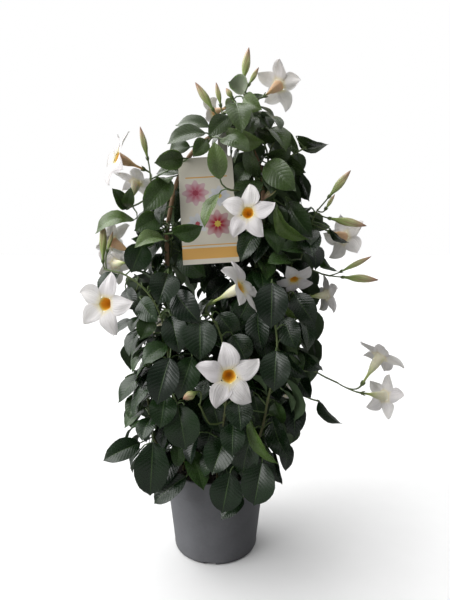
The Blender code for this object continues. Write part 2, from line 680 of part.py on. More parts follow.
def place_first_clear(node, kind, made_forms):
    """Keep the first of some objects that crosses nothing, or None."""
    for made in made_forms:
        piece = piece_of(made, node, kind)
        if is_clear(piece):
            placed.append(piece)
            return made
        mesh = made.data
        bpy.data.objects.remove(made)
        bpy.data.meshes.remove(mesh)
    return None


def join(name, main, others, group):
    """Fuse some objects into the main one, and name the result."""
    operands = bpy.data.collections.new(name + "_joined")
    bpy.context.scene.collection.children.link(operands)
    for other in others:
        group.objects.unlink(other)
        operands.objects.link(other)
    union = main.modifiers.new("join", "BOOLEAN")
    union.operation = "UNION"
    union.operand_type = "COLLECTION"
    union.collection = operands
    union.solver = "MANIFOLD"
    mesh = modifier_mesh(main, name)
    main.modifiers.clear()
    main.data = mesh
    main.name = name
    for other in others:
        bpy.data.objects.remove(other)
    bpy.data.collections.remove(operands)
    return main


def make_pot(group):
    """The nursery pot: a tapered cup with a collar, a notched foot and drain holes."""
    def outer(height):
        return POT_FOOT_RADIUS + (POT_TOP_RADIUS - POT_FOOT_RADIUS) * height / POT_HEIGHT

    collar = POT_HEIGHT - COLLAR_HEIGHT
    floor = FOOT_HEIGHT + POT_WALL
    channel = PAD_RADIUS + 0.004
    foot = POT_FOOT_RADIUS - FOOT_WIDTH
    profile = [
        (outer(POT_HEIGHT) + RIM_LIP, POT_HEIGHT),
        (outer(POT_HEIGHT) + RIM_LIP, POT_HEIGHT - 0.0035),
        (outer(POT_HEIGHT) + COLLAR_STEP, POT_HEIGHT - 0.005),
        (outer(collar) + COLLAR_STEP, collar + 0.001),
        (outer(collar), collar - 0.001),
        (outer(FOOT_CHAMFER), FOOT_CHAMFER),
        (outer(0.0) - FOOT_CHAMFER, 0.0),
        (foot, 0.0),
        (foot - 0.001, FOOT_HEIGHT),
        (channel, FOOT_HEIGHT),
        (PAD_RADIUS + 0.002, 0.0),
        (0.0, 0.0),
        (0.0, POT_WALL),
        (PAD_RADIUS, POT_WALL),
        (channel - 0.002, floor),
        (outer(floor) - POT_WALL, floor),
        (outer(POT_HEIGHT) - POT_WALL, POT_HEIGHT),
    ]
    profile.append(profile[0])
    finish = material("pot_plastic", (0.085, 0.086, 0.092), 0.55)
    pot = turned("pot", profile, POT_SIDES, finish, group)
    cutters = bpy.data.collections.new("cutters")
    bpy.context.scene.collection.children.link(cutters)
    for index in range(NOTCHES):
        turn = Matrix.Rotation(NOTCH_TURN + index * 2 * pi / NOTCHES, 4, "Z")
        size = Matrix.Diagonal((0.030, NOTCH_WIDTH, FOOT_HEIGHT * 2, 1.0))
        place = turn @ Matrix.Translation((foot + 0.010, 0.0, 0.0)) @ size
        add_cutter("notch", bmesh.ops.create_cube, {"size": 1.0, "matrix": place}, cutters)
    for index in range(DRAINS):
        turn = Matrix.Rotation(radians(12) + index * 2 * pi / DRAINS, 4, "Z")
        place = turn @ Matrix.Translation(((channel + foot) / 2, 0.0, floor))
        drill = {
            "cap_ends": True, "segments": 8, "depth": 0.02,
            "radius1": DRAIN_RADIUS, "radius2": DRAIN_RADIUS, "matrix": place,
        }
        add_cutter("drain", bmesh.ops.create_cone, drill, cutters)
    cut = pot.modifiers.new("cut", "BOOLEAN")
    cut.operation = "DIFFERENCE"
    cut.operand_type = "COLLECTION"
    cut.collection = cutters
    mesh = modifier_mesh(pot, "pot")
    pot.modifiers.clear()
    pot.data = mesh
    mesh.shade_smooth()
    mesh.set_sharp_from_angle(angle=radians(30))
    placed.append(piece_of(pot, "pot", "solid"))
    return cutters


def add_cutter(name, create, options, cutters):
    """A cutter made by one bmesh operator."""
    shape = bmesh.new()
    create(shape, **options)
    mesh = bpy.data.meshes.new(name)
    shape.to_mesh(mesh)
    shape.free()
    cutter = bpy.data.objects.new(name, mesh)
    cutters.objects.link(cutter)
    cutter.hide_render = True
    cutter.display_type = "WIRE"


def make_soil(roots, cutters, group):
    """The potting soil, with a plain hole for each stem and for each end of the cane."""
    def inner(height):
        slope = (POT_TOP_RADIUS - POT_FOOT_RADIUS) * height / POT_HEIGHT
        return POT_FOOT_RADIUS + slope - POT_WALL - 0.0006

    floor = FOOT_HEIGHT + POT_WALL + GAP
    profile = [
        (0.0, SOIL_TOP + 0.004),
        (0.045, SOIL_TOP + 0.002),
        (inner(SOIL_TOP), SOIL_TOP - 0.002),
        (inner(floor), floor),
        (PAD_RADIUS + 0.0016, floor),
        (PAD_RADIUS - 0.0004, POT_WALL + GAP),
        (0.0, POT_WALL + GAP),
    ]
    finish = material("potting_soil", (0.035, 0.024, 0.017), 0.95)
    soil = turned("soil", profile, POT_SIDES, finish, group)
    holes = bpy.data.collections.new("holes")
    cutters.children.link(holes)
    for x, y, radius in roots:
        depth = HOLE_DEPTH + 0.02
        place = Matrix.Translation((x, y, SOIL_TOP - HOLE_DEPTH - GAP + depth / 2))
        width = (radius + GAP) / cos(pi / HOLE_SIDES)
        drill = {
            "cap_ends": True, "segments": HOLE_SIDES, "depth": depth,
            "radius1": width, "radius2": width, "matrix": place,
        }
        add_cutter("hole", bmesh.ops.create_cone, drill, holes)
    cut = soil.modifiers.new("cut", "BOOLEAN")
    cut.operation = "DIFFERENCE"
    cut.operand_type = "COLLECTION"
    cut.collection = holes


def hoop_line(step):
    """The cane's centre line, from its left end in the soil to its right one."""
    bend = [at_pixel(column, row, 0.0) for column, row in HOOP]
    ends = []
    for end in (bend[0], bend[-1]):
        ends.append([Vector((end.x, 0.0, SOIL_TOP - HOLE_DEPTH)), Vector((end.x, 0.0, SOIL_TOP + 0.006))])
    return smooth_path(ends[0] + bend + ends[1][::-1], step)


def make_hoop(group):
    """The bent bamboo cane."""
    line = hoop_line(0.055)
    finish = material("bamboo", (0.45, 0.26, 0.15), 0.5)
    hoop = tube("hoop", line, [CANE_RADIUS] * len(line), 6, finish, group)
    placed.append(piece_of(hoop, "hoop", "solid"))
    return [(line[0].x, 0.0, CANE_RADIUS), (line[-1].x, 0.0, CANE_RADIUS)]


def make_card(group):
    """The label card, hung on the hoop's top by a tab folded over the cane."""
    crown = max(hoop_line(0.004), key=lambda point: point.z)
    reach = CANE_RADIUS + GAP + CARD_THICKNESS / 2
    fold = [Vector((0.0, reach * cos(turn), reach * sin(turn)))
            for turn in (radians(angle) for angle in range(0, 181, 45))]
    top = Vector((0.0, -CARD_TAB_REACH * 0.42, -CARD_TAB_REACH))
    glued = top + Vector((0.0, cos(CARD_TILT), -sin(CARD_TILT))) * (CARD_THICKNESS / 2)
    down = Vector((0.0, -sin(CARD_TILT), -cos(CARD_TILT)))
    line = [Vector((0.0, reach, -0.010))] + fold
    line += [Vector((0.0, -reach, -0.008)), glued, glued + down * 0.010]
    finish = material("card_board", (0.62, 0.58, 0.48), 0.6)
    tab = strip("tab", line, CARD_TAB_WIDTH, finish, group)
    slope = Matrix.Rotation(-CARD_TILT, 4, "X") @ Matrix.Rotation(CARD_TURN, 4, "Y")
    size = Matrix.Diagonal((CARD_WIDTH, CARD_THICKNESS, CARD_HEIGHT, 1.0))
    hang = Matrix.Translation(top + Vector((CARD_SHIFT, 0.0, 0.0))) @ slope
    middle = Matrix.Translation((0.0, 0.0, -CARD_HEIGHT / 2))
    shape = bmesh.new()
    bmesh.ops.create_cube(shape, size=1.0, matrix=hang @ middle @ size)
    mesh = bpy.data.meshes.new("card")
    shape.to_mesh(mesh)
    shape.free()
    card = add_object("card", mesh, finish, group)
    join("card", card, [tab], group)
    card.data.transform(Matrix.Translation(crown))
    placed.append(piece_of(card, "card", "solid"))


def strip(name, line, width, finish, group):
    """A bent strip of card: a line in the YZ plane, thickened both ways and drawn out along X."""
    edges = {-1: [], 1: []}
    for index, point in enumerate(line):
        ahead = line[min(index + 1, len(line) - 1)] - line[max(index - 1, 0)]
        away = ahead.normalized().cross(Vector((1.0, 0.0, 0.0))) * (CARD_THICKNESS / 2)
        for side, edge in edges.items():
            edge.append(point + away * side - Vector((width / 2, 0.0, 0.0)))
    shape = bmesh.new()
    outline = shape.faces.new([shape.verts.new(point) for point in edges[-1] + edges[1][::-1]])
    drawn = bmesh.ops.extrude_face_region(shape, geom=[outline], use_keep_orig=True)
    moved = [item for item in drawn["geom"] if isinstance(item, bmesh.types.BMVert)]
    bmesh.ops.translate(shape, verts=moved, vec=(width, 0.0, 0.0))
    bmesh.ops.recalc_face_normals(shape, faces=shape.faces)
    mesh = bpy.data.meshes.new(name)
    shape.to_mesh(mesh)
    shape.free()
    return add_object(name, mesh, finish, group)


def twined(shoot):
    """The stretch of a shoot that winds up one leg of the cane."""
    line = hoop_line(0.008)
    line = line if shoot.twine.leg == "left" else line[::-1]
    line = line[next(i for i, point in enumerate(line) if point.z > SOIL_TOP + 0.02):]
    line = line[:next(i for i, point in enumerate(line) if point.z > shoot.twine.rise)]
    points = []
    for index in range(0, len(line) - 1, 3):
        ahead = (line[index + 1] - line[index]).normalized()
        across = ahead.cross(Vector((0.0, 1.0, 0.0)))
        turn = shoot.twine.phase + 2 * pi * shoot.twine.turns * index / len(line)
        away = Vector((0.0, 1.0, 0.0)) * sin(turn) + across * cos(turn)
        points.append(line[index] + away * (CANE_RADIUS + STEM_RADIUS + TWINE_GAP))
    return points


def shoot_paths(shoot):
    """A shoot's main stem and its twigs, as paths, and the place of its root."""
    free = [at_pixel(*spot) for spot in shoot.path]
    wound = twined(shoot) if shoot.twine else []
    x, y = wound[0].xy if wound else shoot.root
    base = [Vector((x, y, SOIL_TOP + lift)) for lift in (-HOLE_DEPTH, -0.016, 0.006, 0.012)]
    stem = smooth_path(base + wound + free, STEM_STEP)
    open_air = [point for point in stem if point.z > SOIL_TOP + 0.03]
    twigs = []
    for twig in shoot.twigs:
        spots = [at_pixel(*spot) for spot in twig]
        start = nearest_on([open_air], spots[0])
        twigs.append(smooth_path([start] + spots, STEM_STEP))
    return stem, [open_air] + twigs, (x, y, STEM_RADIUS)


def make_stems(shoot, finish, group):
    """A shoot's stem and twigs, and what its leaves and stalks can grow from."""
    stem, paths, root = shoot_paths(shoot)
    taper = [STEM_RADIUS * (1.0 - 0.45 * index / len(stem)) for index in range(len(stem))]
    parts = [tube(shoot.name, stem, taper, 4, finish, group)]
    for twig in paths[1:]:
        parts.append(tube("twig", twig, [TWIG_RADIUS] * len(twig), 4, finish, group))
    for part in parts:
        placed.append(piece_of(part, shoot.name, "stem"))
    return parts, paths, root


def curved(start, bend, end, t):
    """A point of the arc from start to end that is drawn towards bend."""
    return start.lerp(bend, t).lerp(bend.lerp(end, t), t)


def rod_place(line, radii):
    """Where each point of a four-sided rod with pointed ends lies, with no twist along it."""
    frames = []
    across = (line[1] - line[0]).orthogonal()
    for before, after in zip(line, line[2:]):
        ahead = (after - before).normalized()
        across = (across - ahead * across.dot(ahead)).normalized()
        frames.append((across, ahead.cross(across)))

    def place(ring, segment):
        if ring in (0, len(line) - 1):
            return line[ring]
        turn = segment * pi / 2
        across, above = frames[ring - 1]
        return line[ring] + (across * cos(turn) + above * sin(turn)) * radii[ring]
    return place


def bloom_frame(bloom, shift):
    """A bloom's mouth, and the directions that it faces, and that lie right and up on it."""
    facing = Vector(bloom.facing).normalized()
    right = Vector((0.0, 0.0, 1.0)).cross(facing).normalized()
    return at_pixel(*bloom.mouth, bloom.near + shift), facing, right, facing.cross(right)


def bloom_place(bloom, shift):
    """Where each point of a bloom lies: up its tube, out to the petals' edge, and back down inside."""
    mouth, facing, right, up = bloom_frame(bloom, shift)

    def at(radius, turn, height):
        return mouth + (right * cos(turn) + up * sin(turn)) * radius + facing * height

    def place(ring, segment):
        turn = radians(bloom.spin) + segment * 2 * pi / BLOOM_SEGMENTS
        part = segment % 3
        return (
            lambda: at(0.0, turn, -bloom.tube),
            lambda: at(TUBE_NECK_RADIUS, turn, -bloom.tube * 0.58),
            lambda: at(MOUTH_RADIUS, turn, -PETAL_THICKNESS),
            lambda: at(
                bloom.reach * (NOTCH_REACH, SHOULDER_REACH, 1.0)[part],
                turn,
                bloom.reach * (0.10, 0.16, 0.02)[part],
            ),
            lambda: at(MOUTH_RADIUS - PETAL_THICKNESS, turn, 0.0),
            lambda: at(0.0, turn, -bloom.tube * 0.45),
        )[ring]()
    return place


def make_bloom(bloom, paths, finish, group, green):
    """A bloom, and the stalk with the calyx that it sits in."""
    for shift in (0, 0.008, -0.008, 0.016, -0.016, 0.03):
        mouth, facing, right, up = bloom_frame(bloom, shift)
        foot = mouth - facing * (bloom.tube + GAP)
        start = nearest_on(paths, foot)
        bend = foot - facing * (foot - start).length * 0.5
        line = [start] + [curved(start, bend, foot, t) for t in (0.1, 0.45, 0.8)]
        line += [foot - facing * 0.001, foot]
        radii = (0, STALK_RADIUS, STALK_RADIUS, STALK_RADIUS, CALYX_RADIUS, 0)
        flower = shaped_ball(bloom.name, BLOOM_SEGMENTS, 5, bloom_place(bloom, shift), finish, group)
        stalk = shaped_ball("stalk", 4, 5, rod_place(line, radii), green, group)
        pieces = [piece_of(flower, bloom.name, "bloom"), piece_of(stalk, bloom.shoot, "stem")]
        if all(is_clear(piece) for piece in pieces):
            placed.extend(pieces)
            return stalk
        for made in (flower, stalk):
            mesh = made.data
            bpy.data.objects.remove(made)
            bpy.data.meshes.remove(mesh)
    return None


def bud_line(bud, paths, shift):
    """The rings' centres of a bud and its stalk."""
    base = at_pixel(*bud.base, bud.near + shift)
    tip = at_pixel(*bud.tip, bud.near + shift + bud.lean)
    start = nearest_on(paths, base)
    bend = base - (tip - base).normalized() * (base - start).length * 0.5
    line = [start] + [curved(start, bend, base, t) for t in (0.1, 0.5)]
    return line + [base.lerp(tip, share) for share in (0.0, 0.4, 0.7, 1.0)]


def make_bud(bud, shoot, paths, green, group):
    """A bud on its stalk."""
    radii = (0, STALK_RADIUS, STALK_RADIUS, STALK_RADIUS, bud.girth * 0.9, bud.girth * 0.8, 0)

    def tries():
        for shift in (0, 0.008, -0.008, 0.016, -0.016, 0.03, -0.03):
            yield shaped_ball("bud", 4, 6, rod_place(bud_line(bud, paths, shift), radii), green, group)

    return place_first_clear(shoot.name, "bud", tries())


def make_leaf(shoot, forms, green, group):
    """A leaf on its petiole, in the first of its forms that crosses nothing."""
    def tries():
        for form in forms:
            yield shaped_ball("leaf", 4, leaf_rings(form), leaf_place(form), green, group)

    return place_first_clear(shoot.name, "leaf", tries())


def pair_leaves(shoot, path, green, group):
    """The opposite pairs along a shoot that fill the plant behind its front leaves."""
    made = []
    for index in range(shoot.pairs):
        share = FIRST_PAIR + PAIR_REACH * (index + 0.5) / shoot.pairs
        spot = path[round(share * (len(path) - 1))]
        random = Random(f"{shoot.name} {index}")
        outward = atan2(spot.y + 0.01, spot.x)
        for side in (-1, 1):
            heading = outward + side * radians(random.uniform(25, 80))
            forms = [form for form in pair_forms(random, path, share, heading)
                     if within_outline(form) and clear_of_blooms(form, BLOOMS)]
            leaf = make_leaf(shoot, forms, green, group)
            made += [leaf] if leaf else []
    return made


def main():
    for old in list(bpy.data.objects):
        bpy.data.objects.remove(old)
    group = bpy.data.collections.new("mandevilla")
    bpy.context.scene.collection.children.link(group)
    cutters = make_pot(group)
    roots = make_hoop(group)
    make_card(group)
    grown = {}
    for shoot in SHOOTS:
        green = material(shoot.name + "_green", (0.030, 0.065, 0.028), 0.4)
        parts, paths, root = make_stems(shoot, green, group)
        roots.append(root)
        grown[shoot.name] = (shoot, parts, paths, green)
    for bloom in BLOOMS:
        shoot, parts, paths, green = grown[bloom.shoot]
        white = material(bloom.name + "_white", (0.86, 0.84, 0.80), 0.55)
        stalk = make_bloom(bloom, paths, white, group, green)
        parts += [stalk] if stalk else []
    for name, buds in BUDS.items():
        shoot, parts, paths, green = grown[name]
        for bud in buds:
            made = make_bud(bud, shoot, paths, green, group)
            parts += [made] if made else []
    for name, leaves in LEAVES.items():
        shoot, parts, paths, green = grown[name]
        for leaf in leaves:
            made = make_leaf(shoot, hero_forms(leaf, paths), green, group)
            parts += [made] if made else []
    for shoot, parts, paths, green in grown.values():
        parts += pair_leaves(shoot, paths[0], green, group)
    make_soil(roots, cutters, group)
    for shoot, parts, paths, green in grown.values():
        join(shoot.name, parts[0], parts[1:], group)


main()
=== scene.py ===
"""The look of a mandevilla in flower in its nursery pot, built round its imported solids.

Metres, +Z up. The pot stands on z = 0 with its axis on Z, and the plant's face looks along -Y.
The tables of shoots, blooms, buds and leaves are those of the solids' source, and each leaf, bloom
and bud here is the one of its tried places that the solid of its node has.
"""

from collections import namedtuple
from itertools import product
from math import atan2, cos, pi, radians, sin, sqrt
from random import Random

import bmesh
import bpy
from mathutils import Matrix, Quaternion, Vector, noise
from mathutils.bvhtree import BVHTree
from mathutils.kdtree import KDTree


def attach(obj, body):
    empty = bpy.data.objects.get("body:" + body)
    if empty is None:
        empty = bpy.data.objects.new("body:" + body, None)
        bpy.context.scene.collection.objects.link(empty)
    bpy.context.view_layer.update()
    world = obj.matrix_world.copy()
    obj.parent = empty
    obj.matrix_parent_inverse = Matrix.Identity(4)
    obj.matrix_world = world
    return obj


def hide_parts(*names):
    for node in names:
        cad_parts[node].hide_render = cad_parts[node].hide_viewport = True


# Driving sizes of the pot, soil, hoop and card, as in the solids
POT_HEIGHT = 0.153
POT_FOOT_RADIUS = 0.073
POT_TOP_RADIUS = 0.0902
POT_WALL = 0.0018
COLLAR_HEIGHT = 0.035
COLLAR_STEP = 0.0014
RIM_LIP = 0.0022
FOOT_HEIGHT = 0.005
FOOT_WIDTH = 0.010
PAD_RADIUS = 0.030
CHANNEL_RADIUS = PAD_RADIUS + 0.004
NOTCH_WIDTH = 0.019
NOTCH_REACH = 0.030
NOTCH_TURN = radians(263.5)
NOTCHES = 4
DRAIN_RADIUS = 0.0045
DRAIN_TURN = radians(12)
DRAINS = 6
SOIL_TOP = 0.138
SOIL_MOUND = 0.003
SOIL_GAP = 0.0004
HOLE_DEPTH = 0.045
GAP = 0.0003
CANE_RADIUS = 0.0038
CARD_WIDTH = 0.0895
CARD_HEIGHT = 0.180
CARD_THICKNESS = 0.0009
CARD_CORNER = 0.0010
CARD_TAB_WIDTH = 0.016
CARD_TAB_REACH = 0.042
CARD_TAB_END = 0.010
CARD_HANG = Vector((0.0, -CARD_TAB_REACH * 0.42, -CARD_TAB_REACH))
CARD_TILT = radians(15.5)
CARD_TURN = radians(-3.6)
CARD_SHIFT = -0.029

# Sizes of the plant's own parts, as in the solids
STEM_RADIUS = 0.0026
TWIG_RADIUS = 0.0015
PETIOLE_RADIUS = 0.0011
STALK_RADIUS = 0.0012
TWINE_GAP = 0.0016
TWINE_START = SOIL_TOP + 0.02
OPEN_AIR = SOIL_TOP + 0.03
CANE_LIFT = 0.006
STEM_FEET = (-HOLE_DEPTH, -0.016, 0.006, 0.012)
STEM_STEP = 0.040
LEG_STEP = 0.008
LEG_SKIP = 3
WIDEST = 0.3
FOLD = 0.22
END_MARGIN = 0.003
MATCH = 0.0004
BACK_BLOOM = 0.1

# Leaves in opposite pairs: where on the shoot, and the ranges of what chance sets
PAIR_SHARES = (0.10, 0.86)
PAIR_ASIDE = (25, 80)
PAIR_LENGTH = (0.068, 0.086)
PAIR_GIRTH = (0.54, 0.62)
PAIR_DROOP = (38, 68)
PAIR_PETIOLE = (0.014, 0.024)
PAIR_TWIST = (-20, 20)
PAIR_LIFT = 0.35
PAIR_ARCH = 0.14
AXIS_NUDGE = 0.01

# The places that the solids' source tries for room, in its order
LEAF_TURNS = (0, 12, -12)
LEAF_SHIFTS = (0, -0.006, 0.006, -0.012, 0.012, -0.02, 0.02, 0.03, -0.03, 0.04)
LEAF_SWINGS = (0, 0.012, -0.012, 0.024, -0.024)
PAIR_DIPS = (0, 14, -14, -30)
PAIR_TURNS = (0, 18, -18, 36, -36, 60, -60)
BLOOM_SHIFTS = (0, 0.008, -0.008, 0.016, -0.016, 0.03)
BUD_SHIFTS = BLOOM_SHIFTS + (-0.03,)

# More leaves in the room that the solids leave
FILLER_GAP = 2
FILLER_ASIDES = ((-95, -15), (15, 95), (120, 240))
FILLER_SHRINK = (0.50, 0.95)
FILLER_TONES = (0, 0, 0, 1)
SKIRT_RADIUS = 0.105
SKIRT_LOWEST = 0.125
INNER_LOWEST = 0.165
LOW_PART = 0.21
LOW_FRONT = -0.118
HIGH_FRONT = -0.095
BLOOM_ROOM = 22

# How finely the shapes are made
CLOSE = 0.000002
FINE_STEP = 0.010
CANE_STEP = 0.006
CROWN_STEP = 0.004
LEAF_COLUMNS = 12
LEAF_HALF_THICKNESS = 0.00028
TIP_SHARE = 0.16
TIP_POWER = 0.5
ROOT_SHARE = 0.12
PETIOLE_SHARES = (0.0, 0.35, 0.7)
PETIOLE_SWELL = 0.25
LEAF_FOLD = (0.24, 0.50)
LEAF_FLATTER = 0.34
LEAF_RIPPLE = (0.008, 0.020)
LEAF_WAVES = (1.6, 2.6)
LEAF_CURL = (0.0, 0.05)
RIPPLE_SPREAD = 0.008
RIB_GROOVE = 0.0004
RIB_RIDGE = 0.0007
BLADE_STATIONS = (0.0, 0.03, 0.09, 0.18, 0.3, 0.43, 0.56, 0.68, 0.79, 0.88, 0.95, 1.0)
ROOM_STATIONS = (0.06, 0.25, 0.5, 0.75, 0.95)
PETALS = 5
PETAL_TURN = radians(48)
PETAL_ROOT = 0.2
PETAL_SWING = (-6, 6)
PETAL_RIPPLE = (0.020, 0.042)
PETAL_BOW = (-0.03, 0.06)
PETAL_GIRTHS = ((True, (0.82, 1.02)), (False, (0.84, 1.02)))
PETAL_CREASE = (0.010, 0.030)
PETAL_FOLDS = (1.1, 1.9)
PETAL_HOOK = (-0.06, 0.12)
PETAL_COLUMNS = 24
PETAL_HALF_THICKNESS = 0.00028
PETAL_STATIONS = (0.20, 0.25, 0.31, 0.38, 0.46, 0.54, 0.62, 0.70, 0.78, 0.85, 0.91, 0.96, 0.99, 1.0)
USUAL_REACH = 0.047
TUBE_COLUMNS = 20
STALK_STEPS = 9
BUD_STALK_STEPS = 5
BUD_COLUMNS = 15
BUD_GIRTH_SHARE = 0.95
SEPAL_TURN = radians(20)
POT_STEPS = 96
SOIL_RINGS = 22
CRUMBS = 420
CRUMB_SIZE = (0.0007, 0.0024)
CANE_NODE_GAP = 0.11
CANE_NODE_SHIFT = 0.03
CANE_SWELL = 0.16
CANE_SWELL_REACH = 0.005

# Half widths of a petal on its fuller and its plainer side, by the share of its reach
PETAL_FULL = (
    (0.2, 0.17), (0.30, 0.33), (0.42, 0.42), (0.55, 0.43), (0.69, 0.38), (0.82, 0.30), (0.92, 0.19),
    (0.98, 0.07), (1.0, 0.0),
)
PETAL_PLAIN = (
    (0.2, 0.17), (0.33, 0.26), (0.48, 0.265), (0.62, 0.21), (0.76, 0.135), (0.88, 0.07),
    (0.96, 0.025), (1.0, 0.0),
)

# A bloom's tube as (height, radius): heights below 0 are shares of its length, above 0 of its reach
FUNNEL = (
    (-1.0, 0.0), (-1.0, 0.0014), (-0.92, 0.0018), (-0.76, 0.0020), (-0.62, 0.0025), (-0.52, 0.0038),
    (-0.40, 0.0060), (-0.26, 0.0077), (-0.10, 0.0086), (0.02, 0.0095), (0.045, 0.0108), (0.054, 0.0108),
    (0.045, 0.0099), (0.0, 0.0088), (-0.07, 0.0074), (-0.14, 0.0056), (-0.22, 0.0034), (-0.25, 0.0),
)

# A bud's (share of its length, share of its girth) from its foot to its tip
BUD_PROFILE = (
    (0.0, 0.0), (0.0, 0.24), (0.08, 0.30), (0.2, 0.44), (0.33, 0.78), (0.46, 0.98), (0.6, 0.97),
    (0.74, 0.76), (0.86, 0.46), (0.95, 0.20), (1.0, 0.0),
)

# Sepals as (distance along the flower, distance out from its axis, radius)
BLOOM_SEPAL = (
    (-0.0015, 0.0010, 0.0009), (0.002, 0.0026, 0.0013), (0.0050, 0.0034, 0.0010),
    (0.0085, 0.0040, 0.0002),
)
BUD_SEPAL = ((-0.001, 0.0008, 0.0007), (0.002, 0.0022, 0.0010), (0.006, 0.0030, 0.0002))

# Leaves by their age: dull, rich and fresh green, the green beneath, and how far light shines in
LEAF_COLORS = {
    "glossy leaf": (
        (0.004, 0.012, 0.005), (0.013, 0.034, 0.009), (0.052, 0.082, 0.026), (0.10, 0.15, 0.075), 0.0,
    ),
    "half-grown leaf": (
        (0.020, 0.050, 0.011), (0.038, 0.080, 0.017), (0.072, 0.108, 0.034), (0.14, 0.20, 0.10), 0.1,
    ),
    "young leaf": (
        (0.070, 0.125, 0.026), (0.120, 0.180, 0.050), (0.110, 0.160, 0.050), (0.42, 0.47, 0.35), 0.15,
    ),
}
VEIN_COLOR = (0.060, 0.105, 0.040)
RIB_COLOR = (0.10, 0.17, 0.055)
PETIOLE_COLOR = (0.105, 0.16, 0.055)

# Heights between which stems turn woody and leaves turn fresher
WOODY_TOP = 0.48
LUSH_TOP = 0.50
FRESH_TOP = 0.72

# The studio
FLOOR_REACH = 30.0
SKY_DIM = 0.09
SKY_GAINS = (("Y", -0.1, 0.9, 0.60), ("Z", 0.35, 1.0, 0.60), ("X", -0.15, -0.80, 1.05))
SUNS = (
    ("soft_top", (-0.5, 0.35, 1.0), radians(60), 1.5),
    ("soft_left", (-1.0, -0.50, 0.65), radians(45), 1.5),
)
WHITE = (1.0, 1.0, 1.0)

# Blooms that have aged: their tubes are peach
OLD_BLOOMS = ("bloom_top", "bloom_upper_left", "bloom_mid_left", "bloom_top_back", "bloom_mid_right")

# The card's plain print: ochre bands, and rosettes as (across, up, size, outer and middle colour)
OCHRE = (0.68, 0.38, 0.10)
ROSETTES = (
    (0.29, 0.66, 0.130, (0.42, 0.10, 0.15), (0.30, 0.03, 0.06)),
    (0.72, 0.62, 0.105, (0.50, 0.51, 0.55), (0.60, 0.42, 0.08)),
    (0.30, 0.37, 0.105, (0.52, 0.53, 0.56), (0.35, 0.05, 0.07)),
    (0.66, 0.36, 0.140, (0.33, 0.012, 0.030), (0.62, 0.45, 0.08)),
)

# The camera that took the photograph
EYE = Vector((0.017, -0.8145, 0.5326))
PITCH = radians(6.31)
FOCAL = 471.0
SENSOR = 36.0
CENTRE_COLUMN = 225.0
CENTRE_ROW = 300.0

# The hoop's centre line, in pixels at depth 0
HOOP = (
    (185, 452), (178, 380), (169, 300), (167, 240), (170, 212), (177, 182), (192, 153),
    (218, 134), (245, 141), (260, 168), (263, 195), (260, 259), (252, 340), (247, 400), (243, 452),
)

# The photograph's outline of the foliage: row, left column, right column
OUTLINE = (
    (85, 225, 262), (110, 212, 284), (130, 178, 292), (150, 164, 306), (180, 148, 308),
    (215, 134, 312), (250, 124, 318), (290, 126, 318), (330, 128, 318), (370, 128, 320),
    (400, 128, 305), (430, 128, 296), (460, 122, 290), (480, 136, 283), (500, 156, 262),
)

Shoot = namedtuple("Shoot", "name root path twigs pairs twine", defaults=((), 0, None))
Leaf = namedtuple("Leaf", "base tip near lean roll width arch", defaults=(-0.02, 0, 0.04, 0.12))
Bloom = namedtuple("Bloom", "name shoot mouth near facing spin reach tube")
Bud = namedtuple("Bud", "base tip near lean girth", defaults=(0.0, 0.0045))
Twine = namedtuple("Twine", "leg rise turns phase")
Section = namedtuple("Section", "centre side normal half thick t")
Form = namedtuple("Form", "start base along up side length width arch tone")

